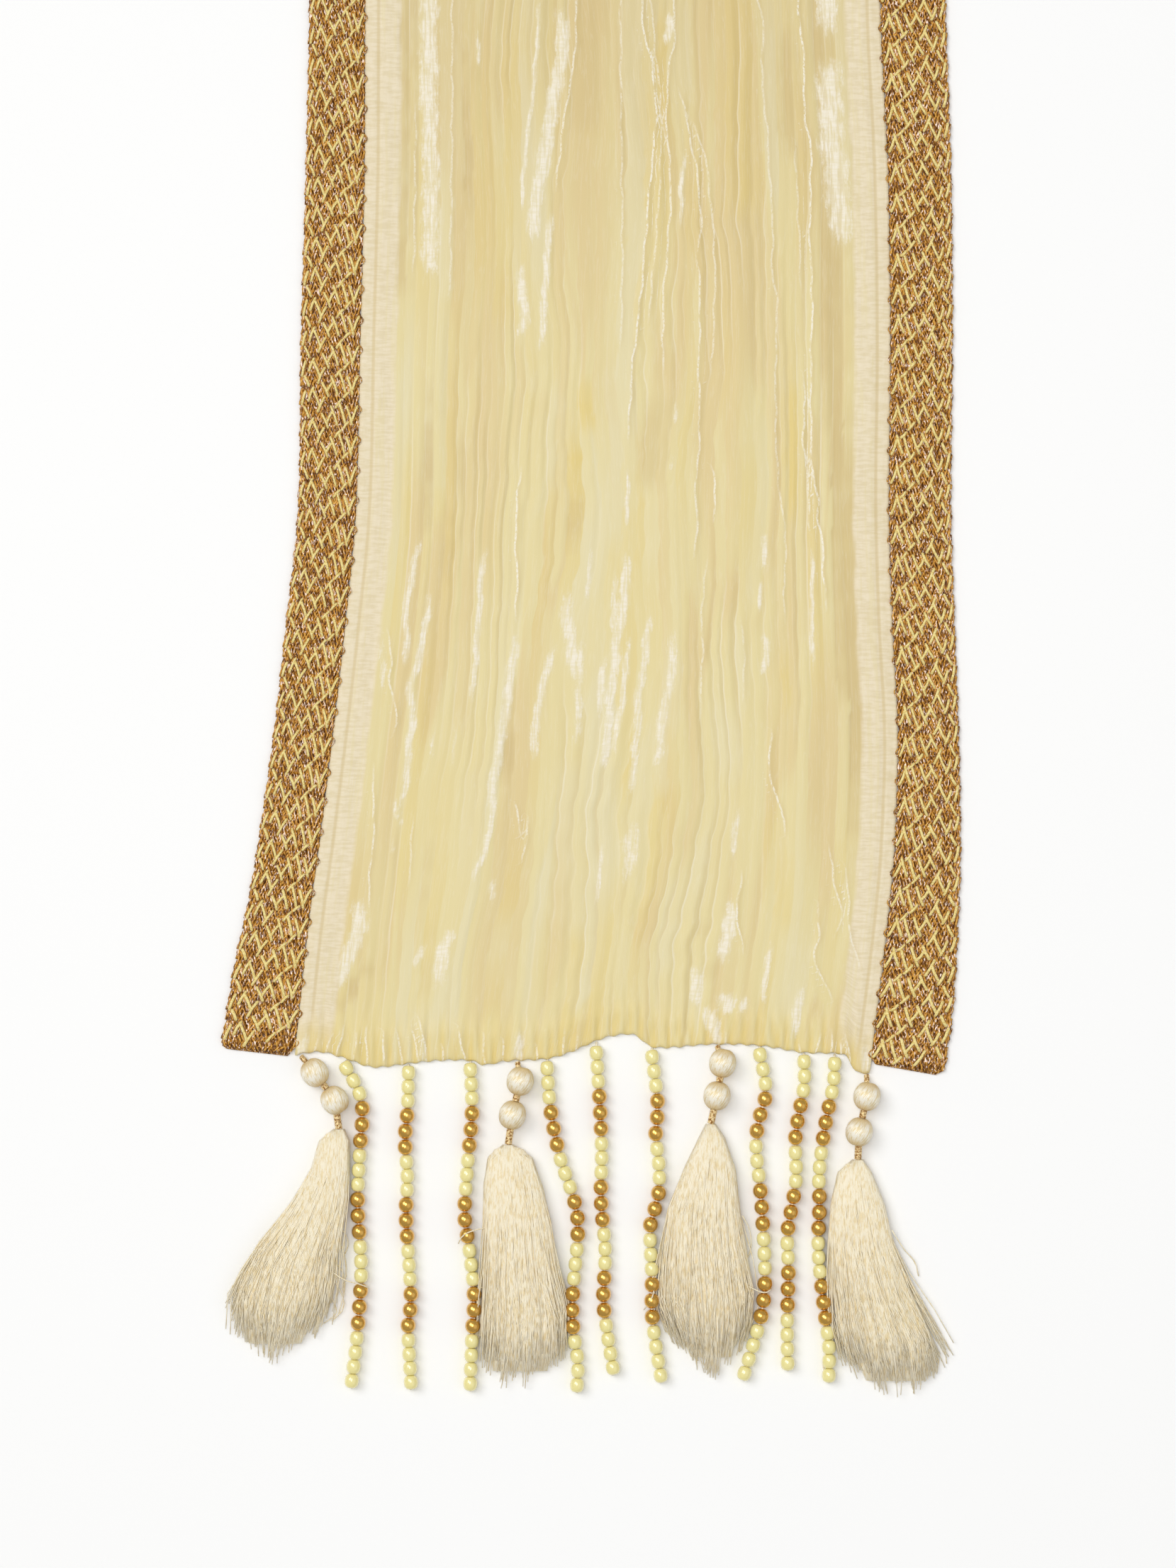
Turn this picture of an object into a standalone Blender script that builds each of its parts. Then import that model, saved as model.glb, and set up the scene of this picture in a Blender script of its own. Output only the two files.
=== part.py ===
"""A dupatta stole laid flat: crinkled velvet between two gold braids, with a fringe of bead
strings and silk tassels along its near end.

Lengths in the tables are millimetres, and Blender's are metres. X runs across the cloth, Y along
it towards the plain far end, and Z up from the surface that it lies on. In the tables, "across"
is X, "up" is the way from the near hem line along the cloth, and "down" is the way from that
line out along the fringe.
"""

import math
from collections import namedtuple
from random import Random

import bmesh
import bpy
from mathutils import Vector

MM = 0.001
SEAM_GAP = 0.3

# The cloth
CLOTH_LENGTH = 2000.0
HEM_LINE_Y = -931.0
HEM_REACH = 60.0  # how far up the cloth the hem's uneven line is felt
FAR_HEM_WAVE = 1.6
MARGIN_WIDTH = 14.0
MARGIN_HEIGHTS = (1.7, 1.9, 1.5)
CRINKLES = 40
VALLEY_HEIGHT = 1.2
LOWEST_CREST = 0.6
HIGHEST_CREST = 1.6
TURNED_HEM_DEPTH = 12.0
TURNED_HEM_RISE = 0.8
CLOTH_SEED = 7

# The braid
BRAID_RIBS = 4
BRAID_EDGE_HEIGHT = 1.9
BRAID_GROOVE_HEIGHT = 2.3
BRAID_RIB_HEIGHT = 3.0
BRAID_CORNER = 2.4

# The beads
LEMON_DIAMETER = 6.0
GOLD_DIAMETER = 6.6
LEMON_PITCH = 6.03
GOLD_PITCH = 6.75
WAIST_RADIUS = 1.5
THREAD_RADIUS = 0.5
BEAD_CENTRE_HEIGHT = 3.4
THREAD_HEIGHT = 1.7
STRING_SIDES_RESOLUTION = 1  # a curve's bevel resolution: 1 gives six sides

# The tassel drops
BALL_RADIUS = 5.7
BALL_HALF_LENGTH = 6.1
BALL_CENTRE_HEIGHT = 5.95
NECK_RADIUS = 1.6
NECK_SIDES = 8
TIE_RADIUS = 1.2
TIE_HEIGHT = 2.0
HEAD_CENTRE_HEIGHT = 5.0
TASSEL_CLEARANCE = 0.3
LOCKS_ACROSS = 12
LOCK_LAYERS = 3
HEAD_SHARE = 0.3  # the part of a tassel's length that is its fused head
HEAD_RINGS = 4
HEAD_SAG = 12.0  # how steeply a tassel's middle comes down to where it rests on the surface
LOCK_BEND_SHARE = 0.62  # how far down a tassel its locks bend
LOCK_BEND_THINNESS = 0.72  # a lock's width there and at its tip, to its root's
LOCK_TIP_THINNESS = 0.34
SHORTEST_LOCK = 0.8
LOCK_LEAN = 0.02
LOCK_DROOP = 0.06
TASSEL_SEED = 21

Outline = namedtuple("Outline", "up left_edge left_braid right_braid right_edge")
OUTLINE = (
    Outline(-6, -156.4, -126.4, 117.8, 148.6),
    Outline(6, -156.0, -125.2, 119.2, 150.5),
    Outline(18, -154.3, -123.9, 120.8, 152.3),
    Outline(42, -150.3, -121.5, 123.8, 154.1),
    Outline(66, -145.1, -118.7, 126.5, 155.3),
    Outline(90, -140.9, -115.4, 128.6, 156.0),
    Outline(138, -134.0, -109.4, 130.1, 155.3),
    Outline(186, -128.6, -104.0, 127.8, 153.5),
    Outline(234, -123.6, -99.5, 126.4, 152.0),
    Outline(306, -122.3, -97.7, 127.0, 152.6),
    Outline(378, -120.2, -95.9, 125.9, 152.0),
    Outline(450, -118.7, -95.6, 122.6, 149.6),
    Outline(700, -116.5, -93.0, 120.0, 145.6),
    Outline(1000, -118.0, -94.2, 121.5, 147.0),
    Outline(1350, -120.5, -96.5, 119.5, 144.6),
    Outline(1700, -122.0, -97.8, 122.0, 147.2),
    Outline(1880, -127.0, -101.5, 126.5, 152.0),
    Outline(1960, -133.5, -107.5, 130.0, 155.5),
    Outline(2004, -137.0, -110.6, 130.6, 156.0),
)

ROWS_UP = (
    0, 5, 13, 28, 50, 80, 115, 155, 200, 250, 305, 370, 440, 540, 670, 810,
    950, 1090, 1230, 1370, 1510, 1650, 1780, 1880, 1950, 1985, 1995, 2000,
)  # fmt: skip

Hem = namedtuple("Hem", "across down")
NEAR_HEM = (
    Hem(-125.6, -3.6), Hem(-114.2, -4.8), Hem(-103.0, -1.8), Hem(-92.3, 1.6), Hem(-77.0, 0.0),
    Hem(-63.8, -1.2), Hem(-51.0, -1.2), Hem(-45.2, 0.6), Hem(-36.2, -0.9), Hem(-18.4, -2.0),
    Hem(-9.0, -4.6), Hem(1.6, -9.3), Hem(9.0, -11.6), Hem(18.5, -12.0), Hem(25.9, -6.9),
    Hem(51.2, -8.1), Hem(71.5, -7.5), Hem(90.0, -4.6), Hem(104.0, -4.2), Hem(107.8, -3.2),
    Hem(112.2, 3.4), Hem(118.1, 4.2),
)  # fmt: skip

# The largest folds: where across the crinkled zone, from 0 to 1, and where up the cloth
Fold = namedtuple("Fold", "share width rise start_up end_up")
FOLDS = (
    Fold(0.10, 13.0, 0.9, 140.0, 420.0),
    Fold(0.30, 10.0, 1.3, 290.0, 760.0),
    Fold(0.24, 16.0, 1.0, -20.0, 190.0),
    Fold(0.52, 20.0, 1.3, 240.0, 980.0),
    Fold(0.62, 15.0, 1.1, 20.0, 330.0),
    Fold(0.74, 12.0, 1.2, 90.0, 560.0),
    Fold(0.88, 11.0, 0.9, -20.0, 240.0),
    Fold(0.16, 14.0, 1.2, 640.0, 1150.0),
    Fold(0.42, 16.0, 1.0, 900.0, 1420.0),
    Fold(0.70, 18.0, 1.2, 820.0, 1500.0),
    Fold(0.28, 12.0, 1.1, 1330.0, 1880.0),
    Fold(0.56, 15.0, 1.2, 1500.0, 2020.0),
    Fold(0.85, 12.0, 1.0, 1250.0, 1790.0),
)

BraidEnd = namedtuple("BraidEnd", "near_outer near_inner far_outer far_inner")
BRAID_ENDS = {
    "left": BraidEnd(6.0, 3.0, 2003.0, 2001.0),
    "right": BraidEnd(-5.0, -0.6, 2002.0, 2003.0),
}

# Each string's route, across and down, from its first bead's middle to its last one's
STRING_ROUTES = (
    ((-103.3, 1.9), (-96.8, 16.0), (-97.6, 37.5), (-98.5, 60.0), (-97.0, 87.0), (-98.8, 115.2),
     (-101.0, 134.0)),
    ((-77.0, 3.8), (-77.4, 18.9), (-78.5, 32.4), (-77.5, 48.0), (-78.1, 64.2), (-76.9, 83.1), (-76.0, 100.5),
     (-77.2, 111.0), (-76.0, 134.6)),
    ((-50.9, 2.6), (-50.2, 20.1), (-52.0, 42.0), (-53.3, 63.6), (-51.4, 78.0), (-49.3, 98.4), (-50.2, 115.5),
     (-50.9, 135.2)),
    ((-18.4, 1.9), (-16.9, 20.1), (-13.0, 39.6), (-7.0, 57.9), (-5.5, 71.4), (-7.6, 97.5), (-7.6, 110.7),
     (-5.5, 126.0), (-5.8, 135.8)),
    ((2.4, -4.6), (3.8, 17.7), (4.6, 37.5), (4.3, 57.3), (6.1, 79.5), (5.3, 99.0), (6.8, 112.5),
     (9.3, 128.4)),
    ((25.9, -2.9), (28.3, 17.5), (27.4, 29.1), (28.9, 45.0), (28.3, 57.0), (25.1, 69.0), (25.8, 90.0),
     (26.0, 108.0), (29.5, 131.7)),
    ((71.5, -3.7), (74.0, 11.5), (71.4, 22.5), (69.8, 34.5), (72.1, 59.1), (73.6, 90.0), (72.1, 105.6),
     (68.8, 118.2), (64.9, 130.8)),
    ((90.1, -0.8), (90.0, 10.0), (86.5, 30.0), (86.6, 49.5), (83.2, 71.0), (83.5, 86.7), (83.0, 111.0),
     (83.2, 126.6)),
    ((103.0, 0.1), (102.3, 9.7), (98.8, 27.3), (96.5, 46.2), (96.6, 60.0), (96.1, 78.9), (98.0, 98.7),
     (100.5, 118.5), (100.6, 131.7)),
)  # fmt: skip
BEAD_GROUPS = (3, 3, 3, 3, 3, 3, 4)  # lemon and gold in turn, from the hem
SHORT_STRING = 7  # the eighth string, counted from 0, lacks the last lemon bead of its third group
SHORT_GROUPS = (3, 3, 3, 3, 2, 3, 4)

Drop = namedtuple("Drop", "tie_across upper lower head")
DROPS = (
    Drop(-122.4, (-116.5, 3.6), (-108.1, 15.3), (-106.3, 27.6)),
    Drop(-31.0, (-29.8, 7.2), (-33.1, 21.5), (-34.9, 34.2)),
    Drop(53.5, (55.6, -0.4), (53.2, 13.4), (50.6, 25.4)),
    Drop(116.6, (116.5, 13.6), (113.2, 28.6), (112.7, 40.5)),
)

TasselRow = namedtuple("TasselRow", "down left right")
TASSELS = (
    (
        TasselRow(27.6, -109.0, -103.6),
        TasselRow(33.3, -115.0, -101.9),
        TasselRow(48.6, -119.5, -102.3),
        TasselRow(63.9, -130.3, -104.0),
        TasselRow(79.2, -141.2, -107.0),
        TasselRow(94.5, -148.0, -107.8),
        TasselRow(109.8, -150.4, -111.5),
        TasselRow(125.1, -146.0, -120.0),
    ),
    (
        TasselRow(34.2, -37.5, -32.3),
        TasselRow(38.6, -43.2, -25.3),
        TasselRow(49.8, -45.0, -21.1),
        TasselRow(65.4, -45.0, -17.2),
        TasselRow(80.7, -44.9, -16.1),
        TasselRow(96.0, -44.9, -13.6),
        TasselRow(111.3, -44.9, -12.6),
        TasselRow(137.1, -45.6, -15.4),
    ),
    (
        TasselRow(25.4, 48.2, 53.0),
        TasselRow(31.4, 45.6, 56.5),
        TasselRow(46.5, 38.5, 61.3),
        TasselRow(62.1, 33.1, 62.8),
        TasselRow(78.0, 31.4, 65.0),
        TasselRow(93.6, 30.4, 67.6),
        TasselRow(101.4, 30.6, 67.6),
        TasselRow(117.0, 36.5, 64.0),
        TasselRow(131.4, 42.4, 60.1),
    ),
    (
        TasselRow(40.5, 110.0, 115.4),
        TasselRow(45.3, 104.5, 118.3),
        TasselRow(60.6, 101.2, 124.3),
        TasselRow(75.9, 100.9, 127.3),
        TasselRow(91.2, 102.0, 132.8),
        TasselRow(106.5, 104.2, 139.0),
        TasselRow(121.8, 107.6, 146.5),
        TasselRow(141.0, 115.0, 143.0),
    ),
)
Thickness = namedtuple("Thickness", "share height")
TASSEL_THICKNESS = (
    Thickness(0.0, 4.8),
    Thickness(0.1, 7.4),
    Thickness(0.3, 9.4),
    Thickness(0.65, 7.4),
    Thickness(1.0, 4.6),
)

# Colours, sRGB, with roughness and metallic value
Finish = namedtuple("Finish", "colour roughness metallic")
FINISHES = {
    "crinkled_velvet": Finish((0.89, 0.84, 0.62), 0.75, 0.0),
    "gold_braid": Finish((0.70, 0.52, 0.26), 0.45, 0.6),
    "bead_string": Finish((0.88, 0.80, 0.50), 0.25, 0.1),
    "wrapped_silk": Finish((0.91, 0.86, 0.75), 0.55, 0.0),
    "gold_wire": Finish((0.75, 0.56, 0.25), 0.35, 0.9),
    "tassel_silk": Finish((0.89, 0.83, 0.68), 0.6, 0.0),
}


def metres(across, along, height):
    """A point given in millimetres."""
    return Vector((across, along, height)) * MM


def down_point(across, down, height):
    """A point of the fringe, from its place across and down from the hem line."""
    return metres(across, HEM_LINE_Y - down, height)


def read(table, at, column):
    """A column of a table read anywhere along it, on a smooth curve through its rows."""
    last = len(table) - 1
    if at <= table[0][0]:
        return getattr(table[0], column)
    if at >= table[last][0]:
        return getattr(table[last], column)
    right = next(n for n, row in enumerate(table) if row[0] >= at)
    rows = [table[min(max(n, 0), last)] for n in range(right - 2, right + 2)]
    keys = [row[0] for row in rows]
    values = [getattr(row, column) for row in rows]
    span = keys[2] - keys[1]
    share = (at - keys[1]) / span
    leave = (values[2] - values[0]) / (keys[2] - keys[0]) * span
    arrive = (values[3] - values[1]) / (keys[3] - keys[1]) * span
    return (
        values[1] * (1 + 2 * share) * (1 - share) ** 2
        + leave * share * (1 - share) ** 2
        + values[2] * share**2 * (3 - 2 * share)
        + arrive * share**2 * (share - 1)
    )


def bump(distance, half_width):
    """A smooth swell: 1 at its middle and 0 from half_width outwards."""
    return 0.5 + 0.5 * math.cos(math.pi * min(abs(distance) / half_width, 1.0))


def material(name):
    """The Principled material of a finish, made once."""
    if name in bpy.data.materials:
        return bpy.data.materials[name]
    finish = FINISHES[name]
    made = bpy.data.materials.new(name)
    made.use_nodes = True
    shader = made.node_tree.nodes["Principled BSDF"]
    shader.inputs["Base Color"].default_value = (*(part**2.2 for part in finish.colour), 1.0)
    shader.inputs["Roughness"].default_value = finish.roughness
    shader.inputs["Metallic"].default_value = finish.metallic
    return made


def add_object(name, data, finish, stole, smooth=False):
    """Links an object for a sub-part into the stole's collection, under its empty."""
    if smooth:
        data.shade_smooth()
    made = bpy.data.objects.new(name, data)
    if not data.materials:
        data.materials.append(material(finish))
    stole.users_collection[0].objects.link(made)
    made.parent = stole
    return made


def mesh_from(name, bm):
    """Turns a bmesh into a mesh whose faces point outwards."""
    bmesh.ops.recalc_face_normals(bm, faces=bm.faces)
    mesh = bpy.data.meshes.new(name)
    bm.to_mesh(mesh)
    bm.free()
    return mesh


def slab(name, columns, rows, place):
    """A flat-bottomed solid: a grid with each point placed, its rim walled down and closed."""
    bm = bmesh.new()
    bmesh.ops.create_grid(bm, x_segments=columns - 1, y_segments=rows - 1, size=1.0)
    for vertex in bm.verts:
        column = round((vertex.co.x + 1) / 2 * (columns - 1))
        row = round((vertex.co.y + 1) / 2 * (rows - 1))
        vertex.co = place(column, row)
    rim = [edge for edge in bm.edges if edge.is_boundary]
    walls = bmesh.ops.extrude_edge_only(bm, edges=rim)["geom"]
    for vertex in (item for item in walls if isinstance(item, bmesh.types.BMVert)):
        vertex.co.z = 0.0
    base_rim = [edge for edge in bm.edges if edge.is_boundary]
    bmesh.ops.contextual_create(bm, geom=base_rim)
    return mesh_from(name, bm)


# The velvet panel

Column = namedtuple("Column", "kind share crinkle")


def crinkled_zone(up):
    """Where the crinkles start across the cloth, inside the left margin, and their zone's width."""
    left = read(OUTLINE, up, "left_braid") + SEAM_GAP + MARGIN_WIDTH
    right = read(OUTLINE, up, "right_braid") - SEAM_GAP - MARGIN_WIDTH
    return left, right - left


class Crinkles:
    """The panel's crinkles: where each lies across, how high it stands, and how it wanders."""

    def __init__(self):
        rng = Random(CLOTH_SEED)
        steps = [rng.uniform(0.65, 1.35) for _ in range(CRINKLES)]
        total = sum(steps)
        starts = [sum(steps[:n]) / total for n in range(CRINKLES + 1)]
        self.heights = [rng.uniform(LOWEST_CREST, HIGHEST_CREST) for _ in range(CRINKLES)]
        self.lengths = [rng.uniform(110.0, 300.0) for _ in range(CRINKLES)]
        self.phases = [rng.uniform(0.0, math.tau) for _ in range(CRINKLES)]
        self.columns = [Column("left margin", share, None) for share in (0.0, 0.5, 1.0)]
        for number in range(CRINKLES):
            lean = rng.uniform(0.3, 0.7)
            crest = starts[number] + lean * (starts[number + 1] - starts[number])
            if number:
                self.columns.append(Column("valley", starts[number], number))
            self.columns.append(Column("crest", crest, number))
        self.columns += [Column("right margin", share, None) for share in (0.0, 0.5, 1.0)]

    def crest_rise(self, number, up):
        """How far a crinkle's crest stands above its valleys at a place up the cloth."""
        swing = math.sin(math.tau * up / self.lengths[number] + self.phases[number])
        return self.heights[number] * (0.72 + 0.28 * swing)

    @staticmethod
    def across(column, up):
        """Where a column lies across the cloth: crinkles drift sideways, and margins run straight."""
        start, width = crinkled_zone(up)
        if column.kind == "left margin":
            return start - (1 - column.share) * MARGIN_WIDTH
        if column.kind == "right margin":
            return start + width + column.share * MARGIN_WIDTH
        drift = 1.5 * math.sin(math.tau * (up / 183.0 + 2.3 * column.share))
        drift += 0.9 * math.sin(math.tau * (up / 97.0 - 3.1 * column.share + 0.2))
        return start + column.share * width + drift * math.sin(math.pi * column.share)


def fold_rise(share, zone_width, up):
    """What the largest folds add to the cloth's height."""
    total = 0.0
    for fold in FOLDS:
        middle = (fold.start_up + fold.end_up) / 2
        reach = bump(up - middle, (fold.end_up - fold.start_up) / 2)
        total += fold.rise * reach * bump((share - fold.share) * zone_width, fold.width)
    return total


def hem_turn(up):
    """How fully a place up the cloth lies in the turned hem at either end."""
    from_end = min(up, CLOTH_LENGTH - up)
    return min(max((TURNED_HEM_DEPTH + 3.0 - from_end) / 3.0, 0.0), 1.0)


def with_hem(across, up):
    """How far up a place of the cloth truly lies, with the uneven line of the hems at its ends."""
    near = -read(NEAR_HEM, across, "down") * max(1.0 - up / HEM_REACH, 0.0)
    from_far = CLOTH_LENGTH - up
    wave = FAR_HEM_WAVE * math.sin(across / 17.0) * math.cos(across / 41.0)
    far = wave * max(1.0 - from_far / HEM_REACH, 0.0)
    return up + near + far


def build_panel(stole):
    """The crinkled velvet, edge to edge between the braids."""
    crinkles = Crinkles()

    def place(column_number, row):
        column = crinkles.columns[column_number]
        up = ROWS_UP[row]
        across = crinkles.across(column, up)
        across = crinkles.across(column, with_hem(across, up))
        true_up = with_hem(across, up)
        height = TURNED_HEM_RISE * hem_turn(up)
        if "margin" in column.kind:
            height += MARGIN_HEIGHTS[round(column.share * 2)]
        else:
            height += VALLEY_HEIGHT + fold_rise(column.share, crinkled_zone(up)[1], up)
        if column.kind == "crest":
            height += crinkles.crest_rise(column.crinkle, up)
        return metres(across, HEM_LINE_Y + true_up, height)

    mesh = slab("velvet_panel", len(crinkles.columns), len(ROWS_UP), place)
    add_object("velvet_panel", mesh, "crinkled_velvet", stole)


# The braids


def build_braid(side, stole):
    """A flat band with raised ribs, whose turned ends have rounded corners."""
    columns = 2 * BRAID_RIBS + 1
    ends = BRAID_ENDS[side]
    rows = len(ROWS_UP) + 2
    inner_rows = ROWS_UP[2:-2]
    rounding = (0.0, BRAID_CORNER * 0.3, BRAID_CORNER)

    def place(column, row):
        share = column / (columns - 1)  # 0 at the left edge of either braid
        outward = 1 - share if side == "left" else share
        near = ends.near_inner + (ends.near_outer - ends.near_inner) * outward
        far = ends.far_inner + (ends.far_outer - ends.far_inner) * outward
        from_last = rows - 1 - row
        if row < len(rounding):
            up, from_end = near + rounding[row], rounding[row]
        elif from_last < len(rounding):
            up, from_end = far - rounding[from_last], rounding[from_last]
        else:
            up, from_end = inner_rows[row - len(rounding)], BRAID_CORNER
        left, right = (
            ("left_edge", "left_braid") if side == "left" else ("right_braid", "right_edge")
        )
        start, end = read(OUTLINE, up, left), read(OUTLINE, up, right)
        corner = BRAID_CORNER * 0.6 * (1.0 - from_end / BRAID_CORNER) ** 2
        across = start + corner + share * (end - start - 2 * corner)
        height = BRAID_RIB_HEIGHT if column % 2 else BRAID_GROOVE_HEIGHT
        if column in (0, columns - 1) or row in (0, rows - 1):
            height = BRAID_EDGE_HEIGHT
        return metres(across, HEM_LINE_Y + up, height)

    mesh = slab(f"braid_{side}", columns, rows, place)
    add_object(f"braid_{side}", mesh, "gold_braid", stole)


# The bead strings


def curve_points(route, steps=12):
    """A smooth line through a route's points, as many short steps."""
    points = [Vector(point) for point in route]
    line = []
    for number in range(len(points) - 1):
        before = points[max(number - 1, 0)]
        start, end = points[number], points[number + 1]
        after = points[min(number + 2, len(points) - 1)]
        for step in range(steps):
            t = step / steps
            line.append(
                0.5
                * (
                    2 * start
                    + (end - before) * t
                    + (2 * before - 5 * start + 4 * end - after) * t**2
                    + (3 * start - before - 3 * end + after) * t**3
                )
            )
    return [*line, points[-1]]


def at_lengths(line, lengths):
    """The points of a line at given lengths along it, the last length being its end."""
    scale = sum((b - a).length for a, b in zip(line, line[1:])) / lengths[-1]
    found = []
    travelled, number = 0.0, 0
    step = line[1] - line[0]
    for length in lengths:
        while number < len(line) - 2 and travelled + step.length < length * scale:
            travelled += step.length
            number += 1
            step = line[number + 1] - line[number]
        found.append(line[number] + step * min((length * scale - travelled) / step.length, 1.0))
    return found


def bead_kinds(number):
    """A string's beads in order, gold or lemon."""
    kinds = []
    for group, count in enumerate(SHORT_GROUPS if number == SHORT_STRING else BEAD_GROUPS):
        kinds += ["gold" if group % 2 else "lemon"] * count
    return kinds


def build_bead_string(number, stole):
    """One string of touching beads, as a tube that swells at each bead and narrows between."""
    kinds = bead_kinds(number)
    pitches = [GOLD_PITCH if kind == "gold" else LEMON_PITCH for kind in kinds]
    lengths, radii = [0.0], []
    for place, kind in enumerate(kinds):
        radii.append((GOLD_DIAMETER if kind == "gold" else LEMON_DIAMETER) / 2)
        if place < len(kinds) - 1:
            radii.append(WAIST_RADIUS)
            half_way = lengths[-1] + pitches[place] / 2
            lengths += [half_way, half_way + pitches[place + 1] / 2]
    route = STRING_ROUTES[number]
    flat = at_lengths(curve_points(route), lengths)
    points = [down_point(point.x, point.y, BEAD_CENTRE_HEIGHT) for point in flat]
    first, last = flat[0], flat[-1]
    edge = read(NEAR_HEM, first.x, "down")
    start = down_point(first.x, edge + 1.5 * SEAM_GAP, THREAD_HEIGHT)
    under_first = down_point(first.x, first.y - LEMON_PITCH * 0.42, THREAD_HEIGHT + THREAD_RADIUS)
    tip = down_point(last.x, last.y + LEMON_PITCH / 2, BEAD_CENTRE_HEIGHT)
    points = [start, under_first, *points, tip]
    radii = [THREAD_RADIUS, 1.8 * THREAD_RADIUS, *radii, WAIST_RADIUS]

    name = f"bead_string_{number + 1}"
    curve = bpy.data.curves.new(name, "CURVE")
    curve.dimensions = "3D"
    curve.bevel_depth = MM
    curve.bevel_resolution = STRING_SIDES_RESOLUTION
    curve.use_fill_caps = True
    spline = curve.splines.new("POLY")
    spline.points.add(len(points) - 1)
    for point, place, radius in zip(spline.points, points, radii):
        point.co = (*place, 1.0)
        point.radius = radius
    add_object(name, curve, "bead_string", stole)


# The tassel drops


def ball_mesh():
    """A silk-wrapped ball, a little longer than it is wide, lying along its own Z."""
    bm = bmesh.new()
    bmesh.ops.create_uvsphere(bm, u_segments=10, v_segments=6, radius=MM)
    bmesh.ops.scale(bm, verts=bm.verts, vec=(BALL_RADIUS, BALL_RADIUS, BALL_HALF_LENGTH))
    return mesh_from("silk_ball", bm)


def lay_along(made, middle, direction):
    """Places an object's middle, and turns its own Z along a direction."""
    made.location = middle
    made.rotation_mode = "QUATERNION"
    made.rotation_quaternion = direction.to_track_quat("Z", "Y")


def neck(name, start, end, radius, stole):
    """A short wire-wrapped neck between two points."""
    bm = bmesh.new()
    bmesh.ops.create_cone(
        bm,
        cap_ends=True,
        segments=NECK_SIDES,
        radius1=radius * MM,
        radius2=radius * MM,
        depth=(end - start).length,
    )
    made = add_object(name, mesh_from(name, bm), "gold_wire", stole)
    lay_along(made, (start + end) / 2, end - start)


def build_drop(number, balls, stole):
    """One drop's two silk balls and the three wire necks that join them, hem and tassel."""
    drop = DROPS[number]
    upper = down_point(*drop.upper, BALL_CENTRE_HEIGHT)
    hem_down = read(NEAR_HEM, drop.tie_across, "down")
    slope = (upper - down_point(drop.tie_across, hem_down, TIE_HEIGHT)).normalized()
    rim_reach = TIE_RADIUS * math.sqrt(1 - slope.y**2)  # the tilted end's rim, back towards the hem
    tie = down_point(drop.tie_across, hem_down + SEAM_GAP + rim_reach, TIE_HEIGHT)
    lower = down_point(*drop.lower, BALL_CENTRE_HEIGHT)
    head = down_point(*drop.head, HEAD_CENTRE_HEIGHT)
    between = (lower - upper).normalized()
    pole = (BALL_HALF_LENGTH + SEAM_GAP) * MM
    from_tie = (upper - tie).normalized()
    to_head = (head - lower).normalized()
    label = number + 1

    upper_ball = add_object(f"ball_{label}_upper", balls, "wrapped_silk", stole, smooth=True)
    lay_along(upper_ball, upper, between)
    lower_ball = add_object(f"ball_{label}_lower", balls, "wrapped_silk", stole, smooth=True)
    lay_along(lower_ball, lower, between)
    neck(f"neck_{label}_tie", tie, upper - from_tie * pole, TIE_RADIUS, stole)
    neck(f"neck_{label}_middle", upper + between * pole, lower - between * pole, NECK_RADIUS, stole)
    neck_end = head - to_head * SEAM_GAP * MM
    neck(f"neck_{label}_lower", lower + to_head * pole, neck_end, NECK_RADIUS, stole)


Lock = namedtuple("Lock", "middle lean lift length")


def section_point(rows, a, b, share):
    """A tassel's point: a across and b through it, from -1 to 1, share of the way down it."""
    down = rows[0].down + share * (rows[-1].down - rows[0].down)
    left, right = read(rows, down, "left"), read(rows, down, "right")
    height = read(TASSEL_THICKNESS, share, "height")
    middle = max(HEAD_CENTRE_HEIGHT - HEAD_SAG * share, TASSEL_CLEARANCE + height / 2)
    across = (left + right) / 2 + a * math.sqrt(1 - b * b / 2) * (right - left) / 2
    return down_point(across, down, middle + b * math.sqrt(1 - a * a / 2) * height / 2)


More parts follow.
